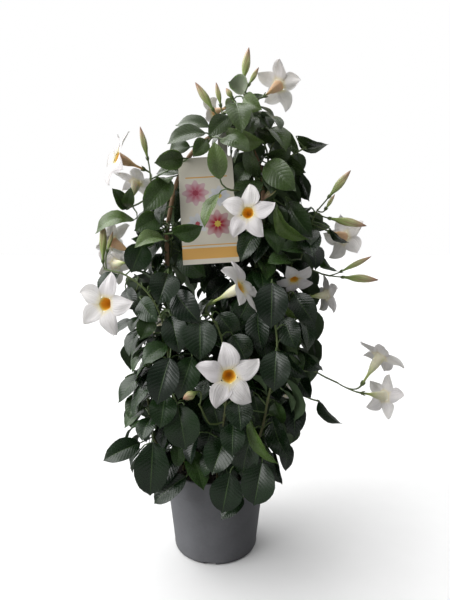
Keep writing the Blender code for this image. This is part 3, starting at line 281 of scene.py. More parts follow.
SHOOTS = (
    Shoot("shoot_cane_left", None, (
        (165, 226, -0.010), (160, 206, -0.020), (153, 188, -0.018), (150, 178, -0.012),
    ), twigs=(
        ((148, 198, -0.022), (138, 204, -0.02), (128, 208, -0.015)),
    ), pairs=3, twine=Twine("left", 0.575, 2.5, 1.6)),
    Shoot("shoot_cane_right", None, (
        (258, 186, -0.016), (255, 160, -0.012), (250, 132, -0.008), (246, 110, 0.0), (245, 96, 0.0),
    ), twigs=(
        ((255, 200, -0.03), (244, 192, -0.065), (230, 190, -0.088)),
    ), pairs=3, twine=Twine("right", 0.61, 2.5, 2.6)),
    Shoot("shoot_over_top", None, (
        (268, 160, -0.004), (259, 135, -0.020), (246, 117, -0.024), (232, 113, -0.026), (218, 128, -0.03),
        (206, 146, -0.032),
    ), twigs=(
        ((224, 112, -0.01), (219, 118, 0.0)),
    ), pairs=3, twine=Twine("right", 0.585, 2.5, 5.8)),
    Shoot("shoot_right_top", (0.030, 0.030), (
        (262, 400, 0.035), (272, 320, 0.034), (274, 250, 0.025), (270, 190, 0.016), (274, 168, 0.006),
        (288, 158, 0.0), (306, 147, 0.0),
    ), twigs=(
        ((268, 160, 0.0), (272, 146, -0.006), (278, 136, -0.006)),
    ), pairs=4),
    Shoot("shoot_left", (-0.036, -0.036), (
        (180, 440, -0.062), (172, 390, -0.074), (167, 345, -0.080), (160, 314, -0.076), (147, 292, -0.066),
        (132, 279, -0.060), (119, 272, -0.056),
    ), twigs=(
        ((112, 271, -0.048), (104, 269, -0.038)),
    ), pairs=3),
    Shoot("shoot_left_low", (-0.056, -0.014), (
        (166, 452, -0.045), (154, 438, -0.060), (150, 412, -0.062), (146, 385, -0.050), (148, 350, -0.036),
        (150, 325, -0.028),
    ), pairs=4),
    Shoot("shoot_front", (0.004, -0.050), (
        (221, 440, -0.088), (226, 400, -0.100), (224, 362, -0.104), (221, 336, -0.098), (212, 318, -0.092),
        (205, 311, -0.088),
    ), twigs=(
        ((210, 424, -0.108), (199, 404, -0.124)),
    ), pairs=2),
    Shoot("shoot_front_right", (0.034, -0.044), (
        (258, 440, -0.084), (268, 400, -0.094), (277, 352, -0.096), (274, 318, -0.082), (270, 290, -0.070),
    ), pairs=3),
    Shoot("shoot_right_low", (0.056, -0.012), (
        (274, 440, -0.032), (290, 405, -0.036), (300, 372, -0.032), (298, 340, -0.026), (292, 312, -0.02),
        (288, 292, -0.018),
    ), twigs=(
        ((313, 371, -0.018), (325, 377, -0.008), (338, 383, 0.0)),
        ((304, 396, -0.018), (311, 399, -0.01), (318, 401, -0.004)),
    ), pairs=4),
    Shoot("shoot_right", (0.052, 0.016), (
        (268, 410, 0.018), (284, 340, 0.012), (293, 290, 0.006), (302, 254, 0.0), (308, 230, 0.0),
        (318, 209, 0.0),
    ), twigs=(
        ((312, 270, 0.0), (322, 274, 0.0), (331, 276, 0.0)),
    ), pairs=4),
    Shoot("shoot_low_front", (0.022, -0.064), (
        (240, 462, -0.098), (242, 446, -0.104), (238, 432, -0.100),
    ), pairs=0),
    Shoot("shoot_back_left", (-0.044, 0.034), (
        (178, 400, 0.062), (170, 340, 0.078), (174, 270, 0.080), (184, 210, 0.060), (196, 170, 0.040),
    ), pairs=6),
    Shoot("shoot_back", (0.0, 0.052), (
        (218, 410, 0.078), (226, 330, 0.096), (216, 250, 0.094), (224, 190, 0.070), (232, 150, 0.040),
    ), pairs=6),
    Shoot("shoot_back_right", (0.050, 0.040), (
        (252, 400, 0.064), (264, 330, 0.078), (262, 260, 0.080), (256, 210, 0.062), (252, 170, 0.042),
    ), pairs=6),
)

BLOOMS = (
    Bloom("bloom_front", "shoot_front", (229, 376), -0.165, (0.0, -1.0, 0.10), 52, 0.049, 0.050),
    Bloom("bloom_left", "shoot_left", (106, 304), -0.105, (-0.35, -0.92, 0.12), 34, 0.050, 0.050),
    Bloom("bloom_by_card", "shoot_cane_right", (248, 213), -0.105, (-0.20, -0.95, 0.10), 44, 0.043, 0.050),
    Bloom("bloom_below_card", "shoot_front", (240, 288), -0.118, (0.80, -0.36, 0.45), 20, 0.045, 0.056),
    Bloom("bloom_top", "shoot_cane_right", (278, 86), 0.028, (0.55, 0.60, 0.55), 0, 0.045, 0.046),
    Bloom("bloom_upper_left", "shoot_cane_left", (118, 158), -0.012, (-0.80, -0.50, 0.30), 0, 0.048, 0.050),
    Bloom("bloom_upper_left_back", "shoot_cane_left", (136, 184), 0.030, (0.2, 0.45, 0.87), 10, 0.042, 0.042),
    Bloom("bloom_mid_left", "shoot_cane_left", (114, 243), 0.010, (-0.82, 0.35, 0.42), 20, 0.044, 0.048),
    Bloom("bloom_mid_left_back", "shoot_cane_left", (116, 264), 0.075, (-0.62, 0.72, -0.1), 0, 0.040, 0.044),
    Bloom("bloom_mid_right", "shoot_right", (343, 237), 0.020, (0.70, 0.62, -0.20), 30, 0.044, 0.044),
    Bloom("bloom_inner_right", "shoot_right", (294, 279), -0.026, (0.1, -0.75, -0.65), 10, 0.036, 0.036),
    Bloom("bloom_right_side", "shoot_right_low", (325, 295), 0.010, (0.93, 0.35, 0.06), 40, 0.037, 0.036),
    Bloom("bloom_far_right_high", "shoot_right_low", (379, 358), 0.004, (0.60, 0.38, 0.70), 15, 0.046, 0.060),
    Bloom("bloom_far_right_low", "shoot_right_low", (383, 396), -0.012, (0.8, 0.5, -0.25), 50, 0.040, 0.056),
    Bloom("bloom_top_back", "shoot_over_top", (214, 112), 0.034, (-0.75, 0.45, -0.1), 0, 0.032, 0.030),
    Bloom("bloom_back_high", "shoot_back", (234, 208), 0.160, (0.12, 0.95, 0.22), 0, 0.046, 0.050),
    Bloom("bloom_back_left", "shoot_back_left", (158, 330), 0.145, (-0.5, 0.85, 0.12), 30, 0.046, 0.050),
    Bloom("bloom_back_right", "shoot_back_right", (282, 392), 0.135, (0.45, 0.88, 0.0), 50, 0.046, 0.050),
)

BUDS = {
    "shoot_cane_left": (
        Bud((148, 160), (140, 126), -0.008, girth=0.0055),
    ),
    "shoot_cane_right": (
        Bud((243, 82), (249, 47), 0.0, girth=0.0072),
        Bud((248, 86), (259, 67), -0.006, girth=0.0042),
        Bud((281, 182), (262, 200), -0.050, -0.02, 0.0055),
    ),
    "shoot_over_top": (
        Bud((214, 111), (195, 82), -0.004, girth=0.0068),
        Bud((221, 107), (216, 82), 0.006, girth=0.0046),
        Bud((233, 99), (226, 88), 0.004, girth=0.0050),
    ),
    "shoot_left": (
        Bud((103, 263), (103, 219), -0.038, girth=0.0064),
        Bud((107, 252), (113, 231), -0.046, girth=0.0036),
    ),
    "shoot_right": (
        Bud((328, 198), (351, 170), 0.0, girth=0.0070),
        Bud((325, 210), (335, 194), -0.01, girth=0.0036),
        Bud((328, 218), (367, 226), -0.006, girth=0.0074),
        Bud((340, 272), (372, 256), 0.0, girth=0.0050),
        Bud((341, 277), (379, 280), 0.0, girth=0.0076),
    ),
    "shoot_front": (
        Bud((197, 392), (183, 399), -0.135, -0.02, 0.0068),
    ),
}

LEAVES = {
    "shoot_cane_left": (
        Leaf((183, 158), (154, 163), -0.030, -0.02, 0, 0.032),
        Leaf((171, 180), (143, 212), -0.046, -0.02, 10, 0.040),
        Leaf((183, 172), (156, 174), -0.012, 0.0, 50, 0.034),
        Leaf((126, 209), (112, 188), -0.016, -0.03, 20, 0.024),
        Leaf((127, 207), (131, 187), -0.020, -0.03, 0, 0.020),
        Leaf((134, 220), (95, 234), -0.030, -0.01, 50, 0.036, 0.25),
        Leaf((161, 217), (134, 231), -0.040, -0.02, 10, 0.036),
        Leaf((162, 231), (131, 239), -0.050, -0.02, -50, 0.036),
        Leaf((166, 241), (134, 248), -0.060, -0.02, 50, 0.034, 0.20),
        Leaf((143, 244), (131, 273), -0.060, -0.02, 0, 0.044),
        Leaf((173, 233), (203, 226), -0.075, -0.02, 35, 0.036),
        Leaf((175, 222), (176, 188), -0.030, -0.01, 50, 0.026),
        Leaf((180, 252), (206, 277), -0.014, -0.01, 20, 0.042),
        Leaf((166, 200), (161, 226), -0.050, -0.01, 50, 0.026),
    ),
    "shoot_over_top": (
        Leaf((209, 127), (175, 125), -0.020, 0.01, 55, 0.036),
        Leaf((205, 133), (167, 144), -0.036, -0.01, 50, 0.038),
        Leaf((206, 140), (193, 157), -0.050, -0.02, 0, 0.026),
        Leaf((230, 117), (208, 137), -0.036, -0.02, 20, 0.032),
        Leaf((190, 147), (168, 151), -0.026, 0.02, 30, 0.028),
        Leaf((226, 131), (265, 142), -0.046, -0.02, 40, 0.040),
        Leaf((222, 139), (250, 151), -0.054, -0.02, -45, 0.036),
        Leaf((236, 115), (236, 131), 0.026, 0.03, 160, 0.026),
    ),
    "shoot_cane_right": (
        Leaf((220, 179), (214, 141), -0.098, -0.01, 0, 0.030),
        Leaf((219, 194), (204, 228), -0.100, -0.01, 45, 0.026),
        Leaf((260, 177), (247, 144), -0.028, -0.03, -35, 0.030),
        Leaf((266, 163), (296, 191), -0.046, -0.03, 0, 0.042),
        Leaf((244, 98), (262, 110), -0.020, -0.03, 10, 0.030),
        Leaf((248, 95), (262, 97), -0.004, 0.03, 40, 0.024),
        Leaf((245, 92), (228, 82), -0.004, 0.02, 150, 0.034, 0.30),
        Leaf((234, 99), (227, 110), 0.012, -0.01, 165, 0.020),
        Leaf((257, 120), (285, 131), -0.012, 0.0, 45, 0.036, 0.38),
        Leaf((252, 126), (282, 137), -0.030, -0.02, 60, 0.036),
        Leaf((256, 232), (241, 262), -0.046, -0.02, 20, 0.036),
        Leaf((252, 163), (234, 186), -0.024, -0.02, 20, 0.034),
    ),
    "shoot_right_top": (
        Leaf((269, 157), (292, 148), -0.030, -0.02, 40, 0.032),
        Leaf((283, 134), (299, 151), -0.010, -0.03, 20, 0.028),
        Leaf((298, 136), (329, 144), 0.000, 0.02, 50, 0.034, 0.20),
        Leaf((307, 149), (323, 145), 0.004, 0.02, 60, 0.018),
        Leaf((282, 156), (306, 173), -0.012, -0.02, 40, 0.036),
        Leaf((299, 169), (309, 202), 0.000, 0.0, 60, 0.036),
        Leaf((262, 176), (276, 191), 0.002, 0.0, 20, 0.030),
    ),
    "shoot_right": (
        Leaf((277, 205), (309, 240), -0.060, -0.02, 50, 0.036, 0.25),
        Leaf((272, 208), (286, 227), -0.046, -0.03, 0, 0.032),
        Leaf((288, 202), (313, 238), -0.020, 0.0, 20, 0.042),
        Leaf((312, 218), (330, 229), 0.010, 0.02, 40, 0.026),
        Leaf((305, 251), (281, 250), -0.040, -0.03, 45, 0.034),
        Leaf((291, 260), (267, 263), -0.050, -0.03, 45, 0.032),
        Leaf((317, 249), (339, 272), -0.004, 0.01, 65, 0.034),
        Leaf((293, 264), (312, 280), -0.020, -0.03, 10, 0.036),
        Leaf((330, 229), (349, 243), -0.020, 0.0, 65, 0.026),
    ),
    "shoot_front_right": (
        Leaf((272, 283), (271, 329), -0.098, -0.02, 0, 0.050),
        Leaf((275, 284), (300, 321), -0.108, -0.01, 65, 0.036),
        Leaf((276, 351), (274, 392), -0.118, -0.02, 0, 0.046),
        Leaf((280, 351), (308, 378), -0.092, -0.02, 50, 0.036),
        Leaf((250, 418), (279, 465), -0.122, -0.02, 62, 0.038),
        Leaf((253, 432), (242, 480), -0.116, -0.02, 15, 0.044),
        Leaf((262, 462), (254, 506), -0.118, -0.01, 0, 0.052),
        Leaf((272, 416), (290, 461), -0.082, -0.02, 30, 0.040),
        Leaf((275, 402), (284, 424), -0.076, -0.02, 30, 0.030),
        Leaf((284, 318), (296, 349), -0.074, -0.02, 10, 0.040),
        Leaf((258, 312), (262, 350), -0.074, -0.01, 20, 0.040),
        Leaf((254, 396), (263, 430), -0.060, -0.02, 0, 0.044),
        Leaf((249, 300), (238, 322), -0.060, -0.01, 0, 0.036),
    ),
    "shoot_right_low": (
        Leaf((294, 294), (315, 325), -0.040, -0.03, 0, 0.042),
        Leaf((303, 319), (315, 346), -0.026, 0.0, 55, 0.032),
        Leaf((292, 325), (304, 338), -0.030, -0.03, 40, 0.024),
        Leaf((299, 350), (323, 371), -0.040, 0.0, 50, 0.038),
        Leaf((296, 372), (311, 398), -0.034, -0.02, 20, 0.036),
        Leaf((319, 401), (343, 424), 0.0, 0.0, 60, 0.036),
        Leaf((298, 397), (302, 416), -0.014, -0.01, 50, 0.024),
        Leaf((288, 400), (291, 431), -0.034, -0.02, 50, 0.036),
        Leaf((274, 452), (282, 485), -0.070, -0.02, 50, 0.036),
    ),
    "shoot_front": (
        Leaf((200, 321), (200, 361), -0.112, -0.03, 0, 0.050),
        Leaf((233, 423), (232, 457), -0.122, -0.03, 0, 0.038),
        Leaf((238, 400), (241, 431), -0.116, -0.02, 0, 0.042),
        Leaf((207, 380), (202, 401), -0.110, -0.02, 40, 0.028),
        Leaf((197, 437), (191, 465), -0.090, -0.02, 50, 0.032),
        Leaf((226, 438), (212, 475), -0.112, -0.03, 10, 0.048),
        Leaf((214, 422), (203, 455), -0.072, -0.02, 0, 0.046),
        Leaf((211, 396), (221, 434), -0.066, -0.02, 0, 0.044),
        Leaf((219, 314), (238, 338), -0.066, -0.01, 10, 0.044),
        Leaf((233, 335), (247, 362), -0.060, -0.02, 0, 0.044),
    ),
    "shoot_back": (
        Leaf((229, 280), (206, 300), 0.040, -0.01, 0, 0.044),
        Leaf((242, 266), (220, 262), 0.050, 0.0, 20, 0.036),
        Leaf((207, 258), (190, 284), 0.040, -0.01, 0, 0.042),
        Leaf((211, 330), (222, 358), 0.050, -0.01, 0, 0.044),
        Leaf((236, 296), (248, 322), 0.046, -0.01, 0, 0.044),
        Leaf((238, 236), (246, 268), 0.050, -0.01, 0, 0.042),
    ),
    "shoot_low_front": (
        Leaf((230, 473), (222, 514), -0.120, -0.01, 0, 0.052),
        Leaf((243, 498), (221, 520), -0.106, 0.0, 30, 0.034),
    ),
    "shoot_left": (
        Leaf((118, 275), (97, 291), -0.030, 0.0, 40, 0.030),
        Leaf((168, 274), (158, 305), -0.100, -0.03, 0, 0.046),
        Leaf((126, 289), (138, 311), -0.050, -0.03, 20, 0.030),
        Leaf((141, 300), (158, 322), -0.100, -0.03, 20, 0.034),
        Leaf((175, 292), (200, 323), -0.100, -0.02, 10, 0.042),
        Leaf((171, 316), (180, 354), -0.110, -0.03, 0, 0.040),
        Leaf((133, 321), (113, 336), -0.030, 0.0, 60, 0.030),
        Leaf((141, 316), (131, 333), -0.034, -0.02, 50, 0.024),
        Leaf((150, 320), (141, 340), -0.060, -0.03, 10, 0.032),
        Leaf((167, 345), (143, 364), -0.094, -0.02, 35, 0.036),
        Leaf((149, 338), (131, 357), -0.050, -0.01, 60, 0.028),
        Leaf((147, 348), (132, 373), -0.060, -0.01, 60, 0.030),
    ),
    "shoot_left_low": (
        Leaf((143, 376), (118, 403), -0.060, -0.01, 45, 0.034),
        Leaf((170, 358), (157, 405), -0.122, -0.02, 10, 0.048),
        Leaf((192, 357), (178, 400), -0.120, -0.02, 0, 0.042),
        Leaf((143, 393), (128, 419), -0.060, -0.02, 30, 0.032),
        Leaf((145, 408), (124, 428), -0.070, -0.02, 50, 0.034),
        Leaf((151, 418), (142, 441), -0.090, -0.03, 30, 0.032),
        Leaf((165, 395), (160, 429), -0.116, -0.03, 0, 0.042),
        Leaf((178, 405), (186, 450), -0.122, -0.02, 0, 0.054),
        Leaf((140, 443), (103, 461), -0.080, -0.02, 15, 0.036),
        Leaf((153, 442), (150, 496), -0.110, -0.01, 0, 0.054),
        Leaf((141, 449), (130, 469), -0.050, 0.0, 65, 0.026),
        Leaf((186, 477), (154, 504), -0.104, -0.01, 25, 0.040),
    ),
}

# Leaves that are younger than the rest, by their tips
YOUNG_LEAVES = {
    (309, 240), (300, 321), (279, 465), (134, 248), (95, 234), (228, 82), (262, 110), (262, 97),
    (214, 141), (204, 228), (265, 142), (227, 110),
}
HALF_GROWN_LEAVES = {
    (154, 163), (143, 212), (112, 188), (131, 187), (131, 239), (134, 231), (203, 226), (206, 277),
    (143, 364), (132, 373), (131, 357), (128, 419), (124, 428), (193, 157), (299, 151), (296, 191),
    (141, 340), (250, 151), (281, 250), (267, 263), (330, 229), (339, 272), (284, 424),
}


def at_pixel(column, row, depth):
    """The point at this depth that a pixel of the photograph shows."""
    rise = CENTRE_ROW - row
    ray = Vector((
        column - CENTRE_COLUMN,
        FOCAL * cos(PITCH) + rise * sin(PITCH),
        rise * cos(PITCH) - FOCAL * sin(PITCH),
    ))
    return EYE + ray * ((depth - EYE.y) / ray.y)


def pixel_of(point):
    """The column and row of the photograph where a point shows."""
    sight = point - EYE
    deep = sight.y * cos(PITCH) - sight.z * sin(PITCH)
    high = sight.y * sin(PITCH) + sight.z * cos(PITCH)
    return CENTRE_COLUMN + FOCAL * sight.x / deep, CENTRE_ROW - FOCAL * high / deep


def turned(right, up, turn):
    """The direction at a turn from right towards up."""
    return right * cos(turn) + up * sin(turn)


def curved(start, bend, end, t):
    """A point of the arc from start to end that is drawn towards bend."""
    return start.lerp(bend, t).lerp(bend.lerp(end, t), t)


def between(table, place):
    """The value that a table of (place, value) pairs gives between its entries."""
    for (low, first), (high, last) in zip(table, table[1:]):
        if place <= high:
            return first + (last - first) * max(0.0, place - low) / (high - low)
    return table[-1][1]


def smooth_path(points, step):
    """Points a step apart on the smooth curve through the given points."""
    ends = [points[0] * 2 - points[1]] + list(points) + [points[-1] * 2 - points[-2]]
    path = []
    for before, start, end, after in zip(ends, ends[1:], ends[2:], ends[3:]):
        count = max(1, round((end - start).length / step))
        for index in range(count):
            t = index / count
            bend = (before * 2 - start * 5 + end * 4 - after) * t ** 2
            twist = (start * 3 - before - end * 3 + after) * t ** 3
            path.append((start * 2 + (end - before) * t + bend + twist) / 2)
    path.append(points[-1].copy())
    return path


def nearest_on(paths, point):
    """The nearest point to this one on some paths, a little short of their ends."""
    best = None
    for path in paths:
        for start, end in zip(path, path[1:]):
            run = end - start
            most = 1.0 - (END_MARGIN / run.length if end is path[-1] else 0.0)
            t = max(0.0, min(most, (point - start).dot(run) / run.length_squared))
            spot = start + run * t
            if best is None or (spot - point).length < (best - point).length:
                best = spot
    return best


def hoop_line(step):
    """The cane's centre line, from its left end in the soil to its right one."""
    bend = [at_pixel(column, row, 0.0) for column, row in HOOP]
    left, right = (
        [Vector((end.x, 0.0, SOIL_TOP + lift)) for lift in (-HOLE_DEPTH, CANE_LIFT)]
        for end in (bend[0], bend[-1])
    )
    return smooth_path(left + bend + right[::-1], step)


def twined(shoot):
    """The stretch of a shoot that winds up one leg of the cane."""
    line = hoop_line(LEG_STEP)[::1 if shoot.twine.leg == "left" else -1]
    line = line[next(i for i, point in enumerate(line) if point.z > TWINE_START):]
    line = line[:next(i for i, point in enumerate(line) if point.z > shoot.twine.rise)]
    back = Vector((0.0, 1.0, 0.0))
    points = []
    for index in range(0, len(line) - 1, LEG_SKIP):
        across = (line[index + 1] - line[index]).normalized().cross(back)
        turn = shoot.twine.phase + 2 * pi * shoot.twine.turns * index / len(line)
        points.append(line[index] + turned(across, back, turn) * (CANE_RADIUS + STEM_RADIUS + TWINE_GAP))
    return points


def shoot_paths(shoot, step):
    """A shoot's main stem, and what its leaves and stalks can grow from."""
    free = [at_pixel(*spot) for spot in shoot.path]
    wound = twined(shoot) if shoot.twine else []
    x, y = wound[0].xy if wound else shoot.root
    base = [Vector((x, y, SOIL_TOP + lift)) for lift in STEM_FEET]
    stem = smooth_path(base + wound + free, step)
    open_air = [point for point in stem if point.z > OPEN_AIR]
    twigs = []
    for twig in shoot.twigs:
        spots = [at_pixel(*spot) for spot in twig]
        twigs.append(smooth_path([nearest_on([open_air], spots[0])] + spots, step))
    return stem, [open_air] + twigs


def spine(form, t):
    """A point of a leaf's midrib, and the direction that its upper face looks there."""
    climb = 4.0 * form.arch * form.length
    point = form.base + form.along * (form.length * t) + form.up * (climb * t * (1.0 - t))
    run = form.along * form.length + form.up * (climb * (1.0 - 2.0 * t))
    return point, form.side.cross(run).normalized()


def outward(point):
    """The heading from the pot's axis to a point."""
    return atan2(point.y + AXIS_NUDGE, point.x)


def blade_width(t):
    """A leaf's half width at a share of its length, as a share of its greatest."""
    return sin(pi * min(t, 1.0) ** 0.85) ** 0.75


def placed_forms(leaf, paths):
    """A placed leaf, and the same one a little nearer or farther, all showing alike in front."""
    tone = 2 if leaf.tip in YOUNG_LEAVES else 1 if leaf.tip in HALF_GROWN_LEAVES else 0
    for turn, shift, swing in product(LEAF_TURNS, LEAF_SHIFTS, LEAF_SWINGS):
        base = at_pixel(*leaf.base, leaf.near + shift)
        blade = at_pixel(*leaf.tip, leaf.near + shift + leaf.lean + swing) - base
        along = blade.normalized()
        face = (EYE - base).normalized()
        face = (face - along * face.dot(along)).normalized()
        up = Matrix.Rotation(radians(leaf.roll + turn), 3, along) @ face
        side = along.cross(up).normalized()
        start = nearest_on(paths, base)
        yield Form(start, base, along, up, side, blade.length, leaf.width, leaf.arch, tone)


def pair_forms(random, path, share, heading):
    """A leaf of an opposite pair on a shoot, and the same one swung aside."""
    place = share * (len(path) - 1)
    start = path[int(place)].lerp(path[min(int(place) + 1, len(path) - 1)], place % 1)
    length = random.uniform(*PAIR_LENGTH)
    width = length * random.uniform(*PAIR_GIRTH)
    droop = random.uniform(*PAIR_DROOP)
    petiole = random.uniform(*PAIR_PETIOLE)
    twist = radians(random.uniform(*PAIR_TWIST))
    for dip, turn in product(PAIR_DIPS, PAIR_TURNS):
        out = Matrix.Rotation(heading + radians(turn), 3, "Z") @ Vector((1.0, 0.0, 0.0))
        fall = radians(droop + dip)
        along = out * cos(fall) - Vector((0.0, 0.0, sin(fall)))
        base = start + out * petiole + Vector((0.0, 0.0, petiole * PAIR_LIFT))
        up = Matrix.Rotation(twist, 3, along) @ (out * sin(fall) + Vector((0.0, 0.0, cos(fall))))
        yield Form(start, base, along, up, along.cross(up), length, width, PAIR_ARCH, 0)


def node_tree(node):
    """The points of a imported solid, for finding which ones it has."""
    points = [vertex.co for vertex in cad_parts[node].data.vertices]
    tree = KDTree(len(points))
    for index, point in enumerate(points):
        tree.insert(point, index)
    tree.balance()
    return tree


def has_point(tree, point):
    """Whether a solid has a corner at this point."""
    return tree.find(point)[2] < MATCH


def has_leaf(tree, form):
    """Whether a solid has this leaf: its tip and a side of its widest station."""
    centre, normal = spine(form, WIDEST)
    half = form.width / 2 * blade_width(WIDEST)
    lift = normal * (FOLD * (half - PETIOLE_RADIUS))
    sides = (centre + form.side * half + lift, centre - form.side * half + lift)
    return has_point(tree, spine(form, 1.0)[0]) and any(has_point(tree, side) for side in sides)


def pair_leaves(shoot, path, tree):
    """The opposite pairs along a shoot that its solid has."""
    found = []
    for index in range(shoot.pairs):
        share = PAIR_SHARES[0] + PAIR_SHARES[1] * (index + 0.5) / shoot.pairs
        spot = path[round(share * (len(path) - 1))]
        random = Random(f"{shoot.name} {index}")
        for side in (-1, 1):
            heading = outward(spot) + side * radians(random.uniform(*PAIR_ASIDE))
            forms = pair_forms(random, path, share, heading)
            found += [form for form in forms if has_leaf(tree, form)][:1]
    return found


def solid_leaves(shoot, paths, tree):
    """The leaves that a shoot's solid has."""
    found = []
    for leaf in LEAVES.get(shoot.name, ()):
        found += [form for form in placed_forms(leaf, paths) if has_leaf(tree, form)][:1]
    return found + pair_leaves(shoot, paths[0], tree)


def within_outline(form):
    """Whether a leaf stays inside the photograph's outline and behind its front leaves."""
    for t in (0.3, 0.6, 1.0):
        point = spine(form, t)[0]
        low = INNER_LOWEST if point.xy.length < SKIRT_RADIUS else SKIRT_LOWEST
        front = LOW_FRONT if point.z < LOW_PART else HIGH_FRONT
        column, row = pixel_of(point)
        if point.y < front or point.z < low or not OUTLINE[0][0] < row < OUTLINE[-1][0]:
            return False
        for (top, left, right), (bottom, low_left, low_right) in zip(OUTLINE, OUTLINE[1:]):
            if top <= row <= bottom:
                share = (row - top) / (bottom - top)
                if not left + (low_left - left) * share < column < right + (low_right - right) * share:
                    return False
    return True


def clear_of_blooms(form):
    """Whether a leaf leaves the blooms of the plant's face in sight."""
    for bloom, t in product(BLOOMS, (0.0, 0.3, 0.7, 1.0)):
        point = spine(form, t)[0]
        column, row = pixel_of(point)
        away = Vector((column - bloom.mouth[0], row - bloom.mouth[1])).length
        if away < BLOOM_ROOM and point.y < bloom.near < BACK_BLOOM:
            return False
    return True


def blade_tree(form):
    """A coarse blade of a leaf, for leaving room round it."""
    points = []
    for t in ROOM_STATIONS:
        centre, normal = spine(form, t)
        half = form.width / 2 * blade_width(t)
        lift = normal * half * 0.2
        points += [centre - form.side * half + lift, centre, centre + form.side * half + lift]
    corners = [row * 3 + side for row in range(len(ROOM_STATIONS) - 1) for side in range(2)]
    return BVHTree.FromPolygons(points, [(corner, corner + 1, corner + 4, corner + 3) for corner in corners])


def plant_tree():
    """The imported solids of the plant, the cane and the card, for leaving room round them."""
    points = []
    faces = []
    for name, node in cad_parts.items():
        if name not in ("pot", "soil"):
            first = len(points)
            points += [vertex.co.copy() for vertex in node.data.vertices]
            faces += [tuple(first + corner for corner in face.vertices) for face in node.data.polygons]
    return BVHTree.FromPolygons(points, faces)


def first_free(forms, shrink, solids, taken):
    """The first of a leaf's forms, made smaller, that the outline and the other leaves leave room for."""
    for form in forms:
        form = form._replace(length=form.length * shrink, width=form.width * shrink)
        if within_outline(form) and clear_of_blooms(form):
            blade = blade_tree(form)
            if not any(blade.overlap(other) for other in [solids] + taken):
                taken.append(blade)
                return form
    return None


def fillers(paths):
    """More leaves along each shoot's stem, wherever the outline and the solids leave room."""
    solids = plant_tree()
    random = Random("fillers")
    taken = []
    found = {name: [] for name in paths}
    for name, path in paths.items():
        for index in range(2, len(path) - 1, FILLER_GAP):
            share = index / (len(path) - 1)
            for aside in [random.uniform(*limits) for limits in FILLER_ASIDES]:
                shrink = random.uniform(*FILLER_SHRINK)
                forms = pair_forms(random, path, share, outward(path[index]) + radians(aside))
                form = first_free(forms, shrink, solids, taken)
                if form:
                    found[name].append(form._replace(tone=random.choice(FILLER_TONES)))
    return found


def new_shape():
    """An empty mesh in the making, with a UV map and a map of each part's tone."""
    shape = bmesh.new()
    shape.loops.layers.uv.new("uv")
    shape.loops.layers.uv.new("tint")
    return shape


def add_sheet(shape, columns, shares, place, tint, finish_index=0, folded=False):
    """Add a grid of faces whose point in each column and row lies where place says.

    The shares are the rows' heights on the UV map. A folded sheet is a thin blade: its second half
    of columns lies under its first, and the two are split into matching triangles, so that neither
    shows through the other.
    """
    count = len(shape.faces)
    rows = len(shares) - 1
    corners = bmesh.ops.create_grid(shape, x_segments=columns, y_segments=rows, size=0.5)["verts"]
    spots = {}
    for vertex in corners:
        spots[vertex] = (round((vertex.co.x + 0.5) * columns), round((vertex.co.y + 0.5) * rows))
    if folded:
        for face in list(shape.faces)[count:]:
            ranked = sorted(face.verts, key=lambda vertex: spots[vertex][::-1])
            upper = spots[ranked[0]][0] < columns // 2
            bmesh.utils.face_split(face, *(ranked[::3] if upper else ranked[1:3]))
    maps = shape.loops.layers.uv
    for face in list(shape.faces)[count:]:
        face.material_index = finish_index
        for loop in face.loops:
            column, row = spots[loop.vert]
            loop[maps["uv"]].uv = (column / columns, shares[row])
            loop[maps["tint"]].uv = tint
    for vertex, (column, row) in spots.items():
        vertex.co = place(column, row)


def add_rod(shape, line, radii, sides, tint, stretch=1.0):
    """Add a round rod along some points, closed at both ends."""
    line = [line[0]] + list(line) + [line[-1]]
    radii = [0.0] + list(radii) + [0.0]
    frames = []
    across = (line[2] - line[1]).orthogonal()
    for index in range(len(line)):
        ahead = (line[min(index + 1, len(line) - 1)] - line[max(index - 1, 0)]).normalized()
        across = (across - ahead * across.dot(ahead)).normalized()
        frames.append((across, ahead.cross(across)))
    lengths = [0.0]
    for start, end in zip(line, line[1:]):
        lengths.append(lengths[-1] + (end - start).length)

    def place(column, row):
        return line[row] + turned(*frames[row], 2 * pi * (column % sides) / sides) * radii[row]

    add_sheet(shape, sides, [length * stretch for length in lengths], place, tint)


def mesh_from(name, shape):
    """The mesh of a finished shape."""
    mesh = bpy.data.meshes.new(name)
    shape.to_mesh(mesh)
    shape.free()
    return mesh


def new_object(name, data):
    """An object with this data, in the scene."""
    made = bpy.data.objects.new(name, data)
    bpy.context.scene.collection.objects.link(made)
    return made


def make_piece(name, shape, finishes, node, sharp=radians(45)):
    """An object on the root body from a finished shape, standing for a CAD node."""
    bmesh.ops.remove_doubles(shape, verts=shape.verts, dist=CLOSE)
    mesh = mesh_from(name, shape)
    for coat in finishes:
        mesh.materials.append(coat)
    mesh.shade_smooth()
    mesh.set_sharp_from_angle(angle=sharp)
    piece = new_object(name, mesh)
    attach(piece, "root")
    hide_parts(node)
    return piece


def around(column, columns):
    """How far across a thin blade a column lies, from -1 to 1, and on which face."""
    half = columns // 2
    face = 1 if column <= half else -1
    x = 2.0 * column / half - 1.0 if face == 1 else 3.0 - 2.0 * column / half
    return x * (0.6 + 0.4 * abs(x)), face


